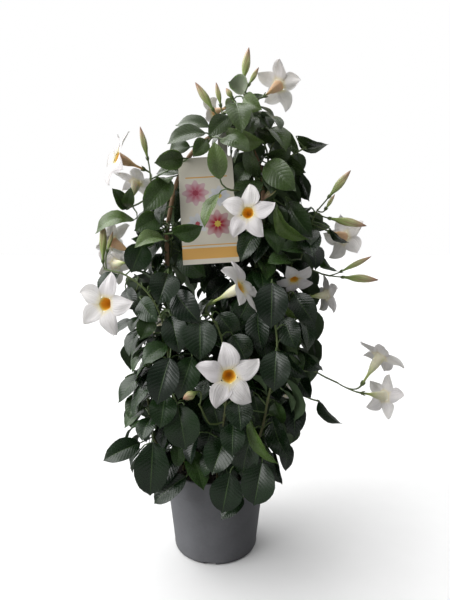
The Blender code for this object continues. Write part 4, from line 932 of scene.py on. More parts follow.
def leaf_sections(form):
    """The cross-sections of a leaf from its petiole's foot to its tip."""
    reach = (form.base - form.start).length
    bend = form.base - form.along * (reach * 0.5)
    turn = form.along.rotation_difference((bend - form.start).normalized())
    sections = [Section(form.start, form.side, form.up, 0.0, 0.0, -1.0)]
    for share in PETIOLE_SHARES:
        swing = Quaternion().slerp(turn, 1.0 - share)
        centre = curved(form.start, bend, form.base, share)
        size = PETIOLE_RADIUS * (1.0 + PETIOLE_SWELL * (1.0 - share))
        sections.append(Section(centre, swing @ form.side, swing @ form.up, size, size, share - 1.0))
    for t in BLADE_STATIONS:
        centre, normal = spine(form, t)
        taper = min(1.0, ((1.0 - t) / TIP_SHARE) ** TIP_POWER)
        half = max(PETIOLE_RADIUS, form.width / 2 * blade_width(t) * taper)
        root = max(0.0, 1.0 - t / ROOT_SHARE) ** 2
        thick = LEAF_HALF_THICKNESS + (PETIOLE_RADIUS - LEAF_HALF_THICKNESS) * root
        if t == 1.0:
            half = thick = 0.0
        sections.append(Section(centre, form.side, normal, half, thick, t))
    return sections


def add_leaf(shape, form, number):
    """Add a leaf: a folded blade with a pointed tip, a grooved midrib and a wavy edge."""
    random = Random(f"leaf {number}")
    fold = random.uniform(*LEAF_FOLD)
    ripple = form.length * random.uniform(*LEAF_RIPPLE)
    phases = {-1: random.uniform(0, 2 * pi), 1: random.uniform(0, 2 * pi)}
    waves = random.uniform(*LEAF_WAVES)
    curl = form.length * random.uniform(*LEAF_CURL)
    sections = leaf_sections(form)

    def place(column, row):
        part = sections[row]
        x, face = around(column, LEAF_COLUMNS)
        lift = face * part.thick * sqrt(max(0.0, 1.0 - x * x))
        if part.t >= 0.0:
            spread = part.half - PETIOLE_RADIUS
            lift += spread * (fold * abs(x) - fold * LEAF_FLATTER * x * x)
            wave = sin(2 * pi * waves * part.t + phases[1 if x > 0 else -1])
            lift += ripple * wave * x * x * min(1.0, spread / RIPPLE_SPREAD)
            lift -= curl * part.t ** 4 * (1.0 if part.half else 0.0)
            if abs(x) < 0.1:
                lift -= (RIB_GROOVE if face == 1 else RIB_RIDGE) * (1.0 - part.t)
        return part.centre + part.side * (part.half * x) + part.normal * lift

    shares = [part.t for part in sections]
    add_sheet(shape, LEAF_COLUMNS, shares, place, (0.0, random.random()), form.tone, True)


def bloom_frame(bloom, shift):
    """A bloom's mouth, and the directions that it faces, and that lie right and up on it."""
    facing = Vector(bloom.facing).normalized()
    right = Vector((0.0, 0.0, 1.0)).cross(facing).normalized()
    return at_pixel(*bloom.mouth, bloom.near + shift), facing, right, facing.cross(right)


def bloom_point(bloom, shift, radius, turn, height):
    """A point of a bloom by its distance from the axis, its turn about it and its height on it."""
    mouth, facing, right, up = bloom_frame(bloom, shift)
    return mouth + turned(right, up, turn) * radius + facing * height


def bloom_shift(bloom):
    """How far its solid's place was moved in depth for room."""
    tree = node_tree(bloom.name)
    tip = radians(bloom.spin) + PETAL_TURN
    for shift in BLOOM_SHIFTS:
        if has_point(tree, bloom_point(bloom, shift, bloom.reach, tip, bloom.reach * 0.02)):
            return shift
    return 0


def add_petal(shape, bloom, shift, index, random):
    """Add one of a bloom's five petals, lapped over the next one like a pinwheel's vane."""
    mouth, facing, right, up = bloom_frame(bloom, shift)
    axis = radians(bloom.spin + random.uniform(*PETAL_SWING)) + PETAL_TURN + index * 2 * pi / PETALS
    out = turned(right, up, axis)
    aside = up * cos(axis) - right * sin(axis)
    reach = bloom.reach
    phase = random.uniform(0, 2 * pi)
    ripple = random.uniform(*PETAL_RIPPLE)
    bow = random.uniform(*PETAL_BOW)
    girth = {full: random.uniform(*limits) for full, limits in PETAL_GIRTHS}
    crease = random.uniform(*PETAL_CREASE)
    folds = random.uniform(*PETAL_FOLDS) * pi
    hook = random.uniform(*PETAL_HOOK)

    def place(column, row):
        x, face = around(column, PETAL_COLUMNS)
        run = PETAL_STATIONS[row]
        grown = min(1.0, (run - PETAL_ROOT) * 2.5)
        full = x > 0.0
        breadth = between(PETAL_FULL if full else PETAL_PLAIN, run) * (1.0 + (girth[full] - 1.0) * grown)
        wide = abs(x) * breadth
        sway = (-wide if full else wide) - hook * run ** 4
        far = min(1.0, max(0.0, (sqrt(run * run + wide * wide) - PETAL_ROOT) / (1.0 - PETAL_ROOT)))
        height = 0.05 - 0.03 * far + 0.08 * sin(pi * far)
        height += 0.05 * abs(x) * (1.0 if full else -0.35) * grown
        height += ripple * x * x * sin(9.0 * run + phase) * grown
        height += crease * cos(folds * x + phase) * grown * min(1.0, breadth / 0.3)
        height -= bow * run ** 3
        skin = face * PETAL_HALF_THICKNESS * sqrt(max(0.0, 1.0 - x * x))
        return mouth + out * (run * reach) + aside * (sway * reach) + facing * (height * reach + skin)

    add_sheet(shape, PETAL_COLUMNS, PETAL_STATIONS, place, (0.0, random.random()), folded=True)


def add_tube(shape, bloom, shift):
    """Add a bloom's tube: a thin stalk-like foot that opens into the throat, and back down inside."""
    def place(column, row):
        height, radius = FUNNEL[row]
        turn = 2 * pi * (column % TUBE_COLUMNS) / TUBE_COLUMNS
        ridge = 1.0 + 0.03 * cos(PETALS * turn) * min(1.0, radius / 0.005)
        swollen = 1.0 if height < -0.5 else bloom.reach / USUAL_REACH
        level = height * bloom.tube if height < 0.0 else height * bloom.reach
        return bloom_point(bloom, shift, radius * ridge * swollen, turn + radians(bloom.spin), level)

    last = len(FUNNEL) - 1
    age = 1.0 if bloom.name in OLD_BLOOMS else 0.0
    add_sheet(shape, TUBE_COLUMNS, [row / last for row in range(last + 1)], place, (age, 0.5), 1)


def make_bloom(bloom):
    """A bloom: its tube and five petals. Gives how far it was moved in depth."""
    random = Random(bloom.name)
    shift = bloom_shift(bloom)
    shape = new_shape()
    for index in range(PETALS):
        add_petal(shape, bloom, shift, index, random)
    add_tube(shape, bloom, shift)
    make_piece(bloom.name + "_flower", shape, (finish["petal"], finish["tube"]), bloom.name)
    return shift


def add_stalk(shape, paths, foot, ahead, steps, swell, tone):
    """Add the stalk from the nearest stem to a flower's foot, thicker there by a share."""
    start = nearest_on(paths, foot)
    bend = foot - ahead * (foot - start).length * 0.5
    places = [index / steps for index in range(steps + 1)]
    line = [curved(start, bend, foot, t) for t in places]
    add_rod(shape, line, [STALK_RADIUS * (1.0 + swell * t ** 4) for t in places], 8, (0.0, tone))


def add_sepals(shape, foot, ahead, right, up, first, sepal):
    """Add the five small sepals that clasp a flower's foot."""
    for index in range(PETALS):
        out = turned(right, up, first + index * 2 * pi / PETALS)
        line = [foot + ahead * along + out * away for along, away, radius in sepal]
        add_rod(shape, line, [radius for along, away, radius in sepal], 6, (0.0, 0.7))


def add_calyx(shape, bloom, shift, paths):
    """Add a bloom's stalk and its sepals."""
    mouth, facing, right, up = bloom_frame(bloom, shift)
    foot = mouth - facing * bloom.tube
    add_stalk(shape, paths, foot, facing, STALK_STEPS, 0.6, 0.3)
    add_sepals(shape, foot, facing, right, up, SEPAL_TURN, BLOOM_SEPAL)


def bud_place(bud, shift):
    """Where a bud's foot and its tip lie."""
    return at_pixel(*bud.base, bud.near + shift), at_pixel(*bud.tip, bud.near + shift + bud.lean)


def add_bud(shape, bud, paths, tree):
    """Add a rolled bud, its petals wound about its axis, and its stalk, if its solid has it."""
    ends = [bud_place(bud, shift) for shift in BUD_SHIFTS]
    ends = [(base, tip) for base, tip in ends if has_point(tree, tip)]
    if not ends:
        return
    base, tip = ends[0]
    ahead = (tip - base).normalized()
    across = ahead.orthogonal().normalized()
    above = ahead.cross(across)

    def place(column, row):
        t, width = BUD_PROFILE[row]
        turn = 2 * pi * (column % BUD_COLUMNS) / BUD_COLUMNS
        fold = 1.0 + 0.07 * cos(PETALS * turn - 7.0 * t) * min(1.0, width * 2)
        radius = bud.girth * BUD_GIRTH_SHARE * width * fold
        return base.lerp(tip, t) + turned(across, above, turn) * radius

    add_stalk(shape, paths, base, ahead, BUD_STALK_STEPS, 0.0, 0.4)
    add_sheet(shape, BUD_COLUMNS, [t for t, width in BUD_PROFILE], place, (0.0, 0.5), 1)
    add_sepals(shape, base, ahead, across, above, 0.0, BUD_SEPAL)


def add_stems(shape, shoot, stem, twigs):
    """Add a shoot's main stem, thinner towards its end, and its twigs."""
    woody = 1.0 if shoot.twine else 0.6
    radii = [STEM_RADIUS * (1.0 - 0.45 * index / len(stem)) for index in range(len(stem))]
    add_rod(shape, stem, radii, 10, (woody, 0.0), 10.0)
    for twig in twigs:
        add_rod(shape, twig, [TWIG_RADIUS] * len(twig), 8, (0.0, 0.2), 10.0)


def make_plant():
    """Every shoot with its leaves, stalks and buds, and every bloom."""
    leaves = {shoot.name: new_shape() for shoot in SHOOTS}
    stems = {shoot.name: new_shape() for shoot in SHOOTS}
    fine = {}
    count = 0
    for shoot in SHOOTS:
        name = shoot.name
        stem, fine[name] = shoot_paths(shoot, FINE_STEP)
        add_stems(stems[name], shoot, stem, fine[name][1:])
        tree = node_tree(name)
        for bud in BUDS.get(name, ()):
            add_bud(stems[name], bud, fine[name], tree)
        for form in solid_leaves(shoot, shoot_paths(shoot, STEM_STEP)[1], tree):
            add_leaf(leaves[name], form._replace(start=nearest_on(fine[name], form.start)), count)
            count += 1
    for bloom in BLOOMS:
        add_calyx(stems[bloom.shoot], bloom, make_bloom(bloom), fine[bloom.shoot])
    for name, forms in fillers({name: paths[0] for name, paths in fine.items()}).items():
        for form in forms:
            add_leaf(leaves[name], form, count)
            count += 1
    leaf_finishes = [finish[kind] for kind in LEAF_COLORS]
    for name in leaves:
        make_piece(name + "_leaves", leaves[name], leaf_finishes, name)
        make_piece(name + "_stems", stems[name], (finish["stem"], finish["bud"]), name)


def spun(profile):
    """A solid of revolution round the Z axis, from a profile of (radius, height) points."""
    shape = bmesh.new()
    corners = [shape.verts.new((radius, 0.0, height)) for radius, height in profile]
    edges = [shape.edges.new(pair) for pair in zip(corners, corners[1:])]
    bmesh.ops.spin(
        shape, geom=corners + edges, axis=(0.0, 0.0, 1.0), cent=(0.0, 0.0, 0.0),
        angle=2 * pi, steps=POT_STEPS, use_merge=True,
    )
    bmesh.ops.remove_doubles(shape, verts=shape.verts, dist=CLOSE)
    bmesh.ops.recalc_face_normals(shape, faces=shape.faces)
    return shape


def pot_outer(height):
    """The pot's outer radius at a height, without its collar."""
    return POT_FOOT_RADIUS + (POT_TOP_RADIUS - POT_FOOT_RADIUS) * height / POT_HEIGHT


def pot_profile():
    """The pot's section: down its outside from the rim, over its foot, and up its inside."""
    collar = POT_HEIGHT - COLLAR_HEIGHT
    floor = FOOT_HEIGHT + POT_WALL
    foot = POT_FOOT_RADIUS - FOOT_WIDTH
    top = pot_outer(POT_HEIGHT)
    lip = top + RIM_LIP
    neck = top + COLLAR_STEP
    rim = [
        (lip - 0.0006, POT_HEIGHT), (lip, POT_HEIGHT - 0.0006), (lip, POT_HEIGHT - 0.0030),
        (lip - 0.0004, POT_HEIGHT - 0.0036), (neck, POT_HEIGHT - 0.0044),
        (neck - 0.0001, POT_HEIGHT - 0.006),
    ]
    step = [
        (pot_outer(collar) + COLLAR_STEP, collar + 0.0024),
        (pot_outer(collar) + COLLAR_STEP * 0.8, collar + 0.001),
        (pot_outer(collar), collar - 0.0008), (pot_outer(collar) - 0.0002, collar - 0.003),
    ]
    ring = [
        (pot_outer(0.0075), 0.0075), (pot_outer(0.0065) + 0.0006, 0.0062),
        (pot_outer(0.004) + 0.0006, 0.004), (pot_outer(0.002), 0.002),
        (pot_outer(0.0) - 0.0016, 0.0004), (pot_outer(0.0) - 0.003, 0.0),
    ]
    under = [
        (foot, 0.0), (foot - 0.001, FOOT_HEIGHT), (CHANNEL_RADIUS, FOOT_HEIGHT),
        (PAD_RADIUS + 0.002, 0.0), (0.0, 0.0),
    ]
    inside = [
        (0.0, POT_WALL), (PAD_RADIUS, POT_WALL), (CHANNEL_RADIUS - 0.002, floor),
        (pot_outer(floor) - POT_WALL - 0.002, floor), (pot_outer(floor) - POT_WALL, floor + 0.002),
        (top - POT_WALL, POT_HEIGHT - 0.0005), (top - POT_WALL * 0.7, POT_HEIGHT),
    ]
    return rim + step + ring + under + inside + rim[:1]


def make_pot():
    """The nursery pot: a tapered cup with a collar, a rim lip, a notched foot and drain holes."""
    pot = make_piece("nursery_pot", spun(pot_profile()), (finish["pot"],), "pot", radians(30))
    foot = POT_FOOT_RADIUS - FOOT_WIDTH
    cutters = bmesh.new()
    for index in range(NOTCHES):
        turn = Matrix.Rotation(NOTCH_TURN + index * 2 * pi / NOTCHES, 4, "Z")
        size = Matrix.Diagonal((NOTCH_REACH, NOTCH_WIDTH, FOOT_HEIGHT * 2, 1.0))
        place = turn @ Matrix.Translation((foot + 0.010, 0.0, 0.0)) @ size
        bmesh.ops.create_cube(cutters, size=1.0, matrix=place)
    for index in range(DRAINS):
        turn = Matrix.Rotation(DRAIN_TURN + index * 2 * pi / DRAINS, 4, "Z")
        bmesh.ops.create_cone(
            cutters, cap_ends=True, segments=24, radius1=DRAIN_RADIUS, radius2=DRAIN_RADIUS, depth=0.02,
            matrix=turn @ Matrix.Translation(((CHANNEL_RADIUS + foot) / 2, 0.0, FOOT_HEIGHT + POT_WALL)),
        )
    cut_mesh(pot, cutters)
    pot.data.set_sharp_from_angle(angle=radians(30))


def cut_mesh(piece, cutters):
    """Take the cutters' shape out of a piece's mesh."""
    tool = new_object("cutters", mesh_from("cutters", cutters))
    cut = piece.modifiers.new("cut", "BOOLEAN")
    cut.operation = "DIFFERENCE"
    cut.object = tool
    bpy.context.view_layer.update()
    done = bpy.data.meshes.new_from_object(piece.evaluated_get(bpy.context.evaluated_depsgraph_get()))
    piece.modifiers.clear()
    piece.data = done
    bpy.data.objects.remove(tool)


def make_soil():
    """The potting soil: a mounded crumbly top down to the drain holes, and loose crumbs on it."""
    random = Random("soil")
    floor = FOOT_HEIGHT + POT_WALL + GAP
    rim, foot = [pot_outer(height) - POT_WALL - SOIL_GAP for height in (SOIL_TOP, floor)]
    shares = [ring / SOIL_RINGS for ring in range(SOIL_RINGS + 1)]
    top = [(rim * share, SOIL_TOP + SOIL_MOUND * (1.0 - share)) for share in shares]
    side = [(foot, floor), (PAD_RADIUS + 0.0016, floor), (PAD_RADIUS - SOIL_GAP, POT_WALL + GAP)]
    shape = spun(top + side + [(0.0, POT_WALL + GAP)])
    for vertex in shape.verts:
        if vertex.co.z > SOIL_TOP - 0.004 and vertex.co.xy.length < rim - 0.001:
            vertex.co.z += 0.0022 * noise.noise(vertex.co * 70.0) + 0.0016 * noise.noise(vertex.co * 210.0)
    for index in range(CRUMBS):
        out = rim * sqrt(random.random()) * 0.97
        turn = random.uniform(0, 2 * pi)
        size = random.uniform(*CRUMB_SIZE)
        height = SOIL_TOP + SOIL_MOUND * (1.0 - out / rim) + size * 0.3
        place = Matrix.Translation((out * cos(turn), out * sin(turn), height))
        spin = Matrix.Rotation(random.uniform(0, pi), 4, Vector((random.random(), random.random(), 0.3)))
        flat = Matrix.Diagonal((size * 1.4, size, size * 0.8, 1.0))
        bmesh.ops.create_icosphere(shape, subdivisions=1, radius=1.0, matrix=place @ spin @ flat)
    make_piece("soil_bed", shape, (finish["soil"],), "soil", radians(180))


def make_hoop():
    """The bamboo cane, swollen a little at its nodes."""
    line = hoop_line(CANE_STEP)
    shape = new_shape()
    run = 0.0
    radii = []
    for index, point in enumerate(line):
        run += (point - line[max(index - 1, 0)]).length
        from_node = abs((run + CANE_NODE_SHIFT) % CANE_NODE_GAP - CANE_NODE_GAP / 2)
        swell = CANE_SWELL * max(0.0, 1.0 - from_node / CANE_SWELL_REACH)
        radii.append(CANE_RADIUS * (1.0 + swell) * (1.0 + 0.02 * noise.noise(point * 40.0)))
    add_rod(shape, line, radii, 20, (0.0, 0.0))
    make_piece("bamboo_hoop", shape, (finish["cane"],), "hoop")


def hoop_crown():
    """The highest point of the cane's centre line."""
    return max(hoop_line(CROWN_STEP), key=lambda point: point.z)


def make_card():
    """The label card, with a plain generic print on its front."""
    top = hoop_crown() + Vector((CARD_SHIFT, CARD_HANG.y, CARD_HANG.z))
    slope = Matrix.Rotation(-CARD_TILT, 4, "X") @ Matrix.Rotation(CARD_TURN, 4, "Y")
    shape = new_shape()
    size = Matrix.Diagonal((CARD_WIDTH, CARD_THICKNESS, CARD_HEIGHT, 1.0))
    bmesh.ops.create_cube(shape, size=1.0, matrix=Matrix.Translation((0.0, 0.0, -CARD_HEIGHT / 2)) @ size)
    through = [edge for edge in shape.edges if abs(edge.verts[0].co.y - edge.verts[1].co.y) > GAP]
    bmesh.ops.bevel(
        shape, geom=through, offset=CARD_CORNER, segments=3, profile=0.5, affect="EDGES", material=-1,
    )
    chart = shape.loops.layers.uv["uv"]
    for face in shape.faces:
        face.material_index = 0 if face.normal.y < -0.5 else 1
        for loop in face.loops:
            spot = loop.vert.co
            loop[chart].uv = (spot.x / CARD_WIDTH + 0.5, spot.z / CARD_HEIGHT + 1.0)
    bmesh.ops.transform(shape, matrix=Matrix.Translation(top) @ slope, verts=shape.verts)
    make_piece("label_card", shape, (finish["print"], finish["board"]), "card", radians(30))


def make_card_tab():
    """The tab folded over the hoop's top, from a little way down its back to the card's back."""
    crown = hoop_crown()
    reach = CANE_RADIUS + GAP + CARD_THICKNESS / 2
    glued = CARD_HANG + Vector((0.0, cos(CARD_TILT), -sin(CARD_TILT))) * (CARD_THICKNESS / 2)
    down = Vector((0.0, -sin(CARD_TILT), -cos(CARD_TILT)))
    line = [Vector((0.0, reach, -CARD_TAB_END))]
    for angle in range(0, 181, 15):
        line.append(Vector((0.0, reach * cos(radians(angle)), reach * sin(radians(angle)))))
    line += [Vector((0.0, -reach, -0.008)), glued, glued + down * CARD_TAB_END]
    strip = new_shape()

    def place(column, row):
        ahead = (line[min(row + 1, len(line) - 1)] - line[max(row - 1, 0)]).normalized()
        away = ahead.cross(Vector((1.0, 0.0, 0.0))) * (CARD_THICKNESS / 2)
        side, face = ((-1, 1), (1, 1), (1, -1), (-1, -1), (-1, 1))[column]
        return crown + line[row] + away * face + Vector((CARD_TAB_WIDTH / 2 * side, 0.0, 0.0))

    add_sheet(strip, 4, [row / len(line) for row in range(len(line))], place, (0.0, 0.0))
    bmesh.ops.remove_doubles(strip, verts=strip.verts, dist=CLOSE)
    bmesh.ops.holes_fill(strip, edges=[edge for edge in strip.edges if edge.is_boundary], sides=0)
    bmesh.ops.recalc_face_normals(strip, faces=strip.faces)
    make_piece("card_tab", strip, (finish["board"],), "card", radians(30))


class Field:
    """A number or colour that a shader works out over a surface; sums on it are nodes."""

    def __init__(self, socket):
        self.socket = socket
        self.tree = socket.id_data

    def maths(self, operation, *values, clamp=False):
        """The result of one sum that starts with this number."""
        inputs = dict(enumerate((self, *values)))
        made = add_node(self.tree, "ShaderNodeMath", inputs, operation=operation, use_clamp=clamp)
        return Field(made.outputs[0])

    def eased(self, low, high):
        """Its smooth rise from 0 at low to 1 at high, or its fall where low is the greater."""
        inputs = {"Value": self, "From Min": low, "From Max": high}
        made = add_node(self.tree, "ShaderNodeMapRange", inputs, interpolation_type="SMOOTHSTEP")
        return Field(made.outputs["Result"])

    def band(self, low, high):
        """1 where it lies between two limits, else 0."""
        return self.maths("GREATER_THAN", low) * self.maths("LESS_THAN", high)

    def __add__(self, other):
        return self.maths("ADD", other)

    def __sub__(self, other):
        return self.maths("SUBTRACT", other)

    def __mul__(self, other):
        return self.maths("MULTIPLY", other)

    def __truediv__(self, other):
        return self.maths("DIVIDE", other)

    def __mod__(self, other):
        return self.maths("MODULO", other)

    def __pow__(self, other):
        return self.maths("POWER", other)

    def __abs__(self):
        return self.maths("ABSOLUTE")


def feed(tree, socket, value):
    """Set an input to a value, or link what works it out to it."""
    if isinstance(value, Field):
        tree.links.new(value.socket, socket)
    elif socket.type == "RGBA":
        socket.default_value = (*value, 1.0)
    else:
        socket.default_value = value


def add_node(tree, kind, inputs=(), **settings):
    """A shader node with its settings, each of its inputs set to a value or fed by a field."""
    made = tree.nodes.new(kind)
    for name, value in settings.items():
        setattr(made, name, value)
    for key, value in dict(inputs).items():
        feed(tree, made.inputs[key], value)
    return made


def blended(tree, share, first, second, way="MIX"):
    """A mix of two colours."""
    made = add_node(tree, "ShaderNodeMix", {0: share, 6: first, 7: second}, data_type="RGBA", blend_type=way)
    return Field(made.outputs[2])


def graded(tree, value, stops):
    """A colour that runs through some (place, colour) stops."""
    made = add_node(tree, "ShaderNodeValToRGB", {0: value})
    elements = made.color_ramp.elements
    while len(elements) < len(stops):
        elements.new(0.5)
    for element, (place, color) in zip(elements, stops):
        element.position = place
        element.color = (*color, 1.0)
    return Field(made.outputs["Color"])


def own_place(tree):
    """An object's own coordinates."""
    return Field(add_node(tree, "ShaderNodeTexCoord").outputs["Object"])


def parts_of(tree, vector):
    """The three parts of a vector."""
    return [Field(part) for part in add_node(tree, "ShaderNodeSeparateXYZ", {0: vector}).outputs]


def shares_on(tree, name):
    """The two shares of one of an object's UV maps."""
    return parts_of(tree, Field(add_node(tree, "ShaderNodeUVMap", uv_map=name).outputs["UV"]))[:2]


def vector_of(tree, *parts):
    """A vector from its parts."""
    return Field(add_node(tree, "ShaderNodeCombineXYZ", enumerate(parts)).outputs[0])


def noise_at(tree, scale, detail, roughness=0.5, place=None):
    """A soft noise value, over the object's own coordinates unless others are given."""
    inputs = {"Vector": place or own_place(tree), "Scale": scale, "Detail": detail, "Roughness": roughness}
    return Field(add_node(tree, "ShaderNodeTexNoise", inputs).outputs["Fac"])


def bumped(tree, height, strength, distance):
    """The surface's direction with a height pressed into it."""
    inputs = {"Height": height, "Strength": strength, "Distance": distance}
    return Field(add_node(tree, "ShaderNodeBump", inputs).outputs["Normal"])


def new_finish(name):
    """A material and its node tree."""
    made = bpy.data.materials.new(name)
    made.use_nodes = True
    return made, made.node_tree


def dressed(made, looks):
    """The material with its Principled shader's inputs set or fed."""
    for label, value in looks.items():
        feed(made.node_tree, made.node_tree.nodes["Principled BSDF"].inputs[label], value)
    return made


def new_group(name, inputs, outputs):
    """An empty node group with named sockets, what it is given, and where its results go."""
    tree = bpy.data.node_groups.new(name, "ShaderNodeTree")
    for side, labels in (("INPUT", inputs), ("OUTPUT", outputs)):
        for label in labels:
            kind = "NodeSocketColor" if label == "Color" else "NodeSocketFloat"
            tree.interface.new_socket(name=label, in_out=side, socket_type=kind)
    given = tree.nodes.new("NodeGroupInput").outputs
    return tree, [Field(given[label]) for label in inputs], tree.nodes.new("NodeGroupOutput").inputs


def mottle_group():
    """A group that varies a colour in soft blotches and fine specks."""
    tree, (color, scale, amount), out = new_group("mottle", ("Color", "Scale", "Amount"), ("Color", "Value"))
    both = noise_at(tree, scale, 4.0) * 0.7 + noise_at(tree, scale * 9.0, 2.0) * 0.3
    bright = (both - 0.5) * amount * 4.0 + 1.0
    grey = add_node(tree, "ShaderNodeCombineColor", {0: bright, 1: bright, 2: bright}).outputs[0]
    feed(tree, out["Color"], blended(tree, 1.0, color, Field(grey), "MULTIPLY"))
    feed(tree, out["Value"], both)
    return tree


def rosette_group():
    """A group that draws a plain round rosette with scalloped edges, and its round middle."""
    tree, (x, y, size), out = new_group("rosette", ("Across", "Up", "Size"), ("Whole", "Middle", "Shade"))
    lobes = (y.maths("ARCTAN2", x) * 8.0).maths("COSINE")
    share = (x * x + y * y).maths("SQRT") / (size * (lobes * 0.14 + 0.86))
    feed(tree, out["Whole"], share.eased(1.02, 0.98))
    feed(tree, out["Middle"], share.eased(0.27, 0.22))
    feed(tree, out["Shade"], lobes * 0.2 + share)
    return tree


def of_group(tree, group, given):
    """The results of a group, each of its inputs set to a value or fed by a field."""
    made = add_node(tree, "ShaderNodeGroup", given, node_tree=group)
    return [Field(result) for result in made.outputs]


def mottled(tree, color, scale, amount):
    """A colour varied by the mottle group, and the group's value."""
    return of_group(tree, mottle, {"Color": color, "Scale": scale, "Amount": amount})


def leaf_finish(name, dull, rich, fresh, beneath, shine_through):
    """A glossy leaf: fresher green high up, quilted between its side veins, and paler beneath."""
    made, tree = new_finish(name)
    turn, t = shares_on(tree, "uv")
    chance = shares_on(tree, "tint")[1]
    grain = noise_at(tree, 900.0, 2.0)
    under = turn.maths("GREATER_THAN", 0.5)
    across = abs(turn % 0.5 * 4.0 - 1.0)
    phase = t * 11.0 + across ** 1.4 * -2.4 + chance * 3.0
    saw = abs(phase.maths("FRACT") - 0.5)
    vein = saw.eased(0.42, 0.495) * across.eased(0.95, 0.6)
    rib = across.eased(0.07, 0.02)
    high = parts_of(tree, own_place(tree))[2].eased(LUSH_TOP, FRESH_TOP)
    color = blended(tree, high * 0.75, graded(tree, chance, ((0.0, dull), (1.0, rich))), fresh)
    color = mottled(tree, color, 45.0, 0.35)[0]
    color = blended(tree, vein * 0.07, color, VEIN_COLOR)
    color = blended(tree, rib * 0.40, color, RIB_COLOR)
    color = blended(tree, under, color, blended(tree, 0.72, color, beneath))
    furrow = (saw * 2.0) ** 3.0
    relief = furrow * -1.0 + 1.0 + grain * 0.12 - rib * 0.8
    return dressed(made, {
        "Base Color": blended(tree, t.eased(0.02, -0.02), color, PETIOLE_COLOR),
        "Roughness": under * 0.25 + grain * 0.14 + 0.20,
        "Normal": bumped(tree, relief, 0.30, 0.0007),
        "Specular IOR Level": 0.5,
        "Subsurface Weight": shine_through,
        "Subsurface Radius": (0.7, 1.0, 0.5),
        "Subsurface Scale": 0.001,
    })


def petal_finish():
    """A white petal with fine veins, faint grey streaks painted along its soft folds as their shade, and a
    yellow-green root.
    """
    made, tree = new_finish("white petal")
    turn, t = shares_on(tree, "uv")
    chance = shares_on(tree, "tint")[1]
    ray = (turn * 150.0).maths("SINE")
    drawn_out = vector_of(tree, turn * 26.0, t * 1.6, chance * 40.0)
    # Soft streaks along the petal: they raise its folds in the bump, and their grey in the colour is painted
    # shade of those folds
    fold_and_painted_shade = noise_at(tree, 1.0, 3.0, place=drawn_out).eased(0.42, 0.72)
    vein = abs(ray) ** 6.0 * t.eased(0.95, 0.3)
    root = t.eased(0.46, 0.17) ** 2.5
    color = blended(tree, chance, (0.87, 0.84, 0.81), (0.81, 0.765, 0.775))
    color = blended(tree, vein * 0.10, color, (0.72, 0.72, 0.66))
    # Painted shade: grey laid along the folds' streaks
    color = blended(tree, fold_and_painted_shade * 0.28, color, (0.62, 0.575, 0.56))
    color = mottled(tree, color, 60.0, 0.05)[0]
    relief = ray * 0.30 + (noise_at(tree, 260.0, 3.0) + fold_and_painted_shade)
    return dressed(made, {
        "Base Color": blended(tree, root * 0.85, color, (0.86, 0.74, 0.40)),
        "Roughness": 0.55,
        "Normal": bumped(tree, relief, 0.35, 0.0008),
        "Subsurface Weight": 0.35,
        "Subsurface Radius": (1.0, 1.0, 0.9),
        "Subsurface Scale": 0.002,
    })


def tube_finish():
    """A bloom's tube: green at its foot, cream above, orange inside and painted darker deep in its throat as
    shade, and peach outside when old.
    """
    made, tree = new_finish("flower tube")
    turn, run = shares_on(tree, "uv")
    age = shares_on(tree, "tint")[0]
    # Along the tube: green, cream, then yellow and orange inside; the last stops are darker, painted shade
    # deep in the throat
    color = graded(tree, run, (
        (0.0, (0.22, 0.33, 0.07)), (0.22, (0.48, 0.55, 0.20)), (0.40, (0.80, 0.78, 0.55)),
        (0.66, (0.86, 0.82, 0.68)), (0.72, (0.90, 0.72, 0.26)), (0.80, (0.88, 0.50, 0.05)),
        (0.90, (0.80, 0.38, 0.02)), (1.0, (0.60, 0.24, 0.01)),
    ))
    outside = run.eased(0.62, 0.5) * run.eased(0.03, 0.15)
    color = blended(tree, outside * age * 0.75, color, (0.72, 0.38, 0.19))
    return dressed(made, {
        "Base Color": mottled(tree, color, 80.0, 0.12)[0],
        "Roughness": 0.5,
        "Normal": bumped(tree, (turn * 125.7).maths("SINE"), 0.2, 0.0004),
        "Subsurface Weight": 0.30,
        "Subsurface Radius": (1.0, 0.8, 0.4),
        "Subsurface Scale": 0.002,
    })


def stem_finish():
    """A twining stem: green, turning brown and woody low down."""
    made, tree = new_finish("twining stem")
    turn, run = shares_on(tree, "uv")
    old = shares_on(tree, "tint")[0]
    low = parts_of(tree, own_place(tree))[2].eased(WOODY_TOP, OPEN_AIR)
    age = (old * low).maths("ADD", (noise_at(tree, 60.0, 4.0) - 0.5) * 0.9, clamp=True)
    fibre = noise_at(tree, 4.0, 4.0, place=vector_of(tree, turn * 9.0, run))
    color = blended(tree, age, (0.105, 0.165, 0.042), (0.115, 0.068, 0.038))
    return dressed(made, {
        "Base Color": blended(tree, fibre * 0.40, color, (0.15, 0.14, 0.075)),
        "Roughness": 0.5,
        "Normal": bumped(tree, fibre, 0.45, 0.0006),
    })


def bud_finish():
    """A rolled bud: green below, yellow-green, and a brown-pink tip, with a line where it is rolled."""
    made, tree = new_finish("rolled bud")
    turn, t = shares_on(tree, "uv")
    color = graded(tree, t, (
        (0.0, (0.17, 0.27, 0.06)), (0.30, (0.34, 0.43, 0.13)), (0.62, (0.50, 0.50, 0.24)),
        (0.85, (0.52, 0.34, 0.22)), (1.0, (0.26, 0.12, 0.08)),
    ))
    ridge = (turn * (2 * PETALS * pi) - t * 7.0).maths("COSINE")
    crease = ridge.eased(-0.7, -1.0) * t.eased(0.2, 0.5)
    color = blended(tree, crease * 0.55, color, (0.33, 0.14, 0.09))
    return dressed(made, {
        "Base Color": mottled(tree, color, 120.0, 0.12)[0],
        "Roughness": 0.42,
        "Normal": bumped(tree, ridge, 0.25, 0.0005),
    })


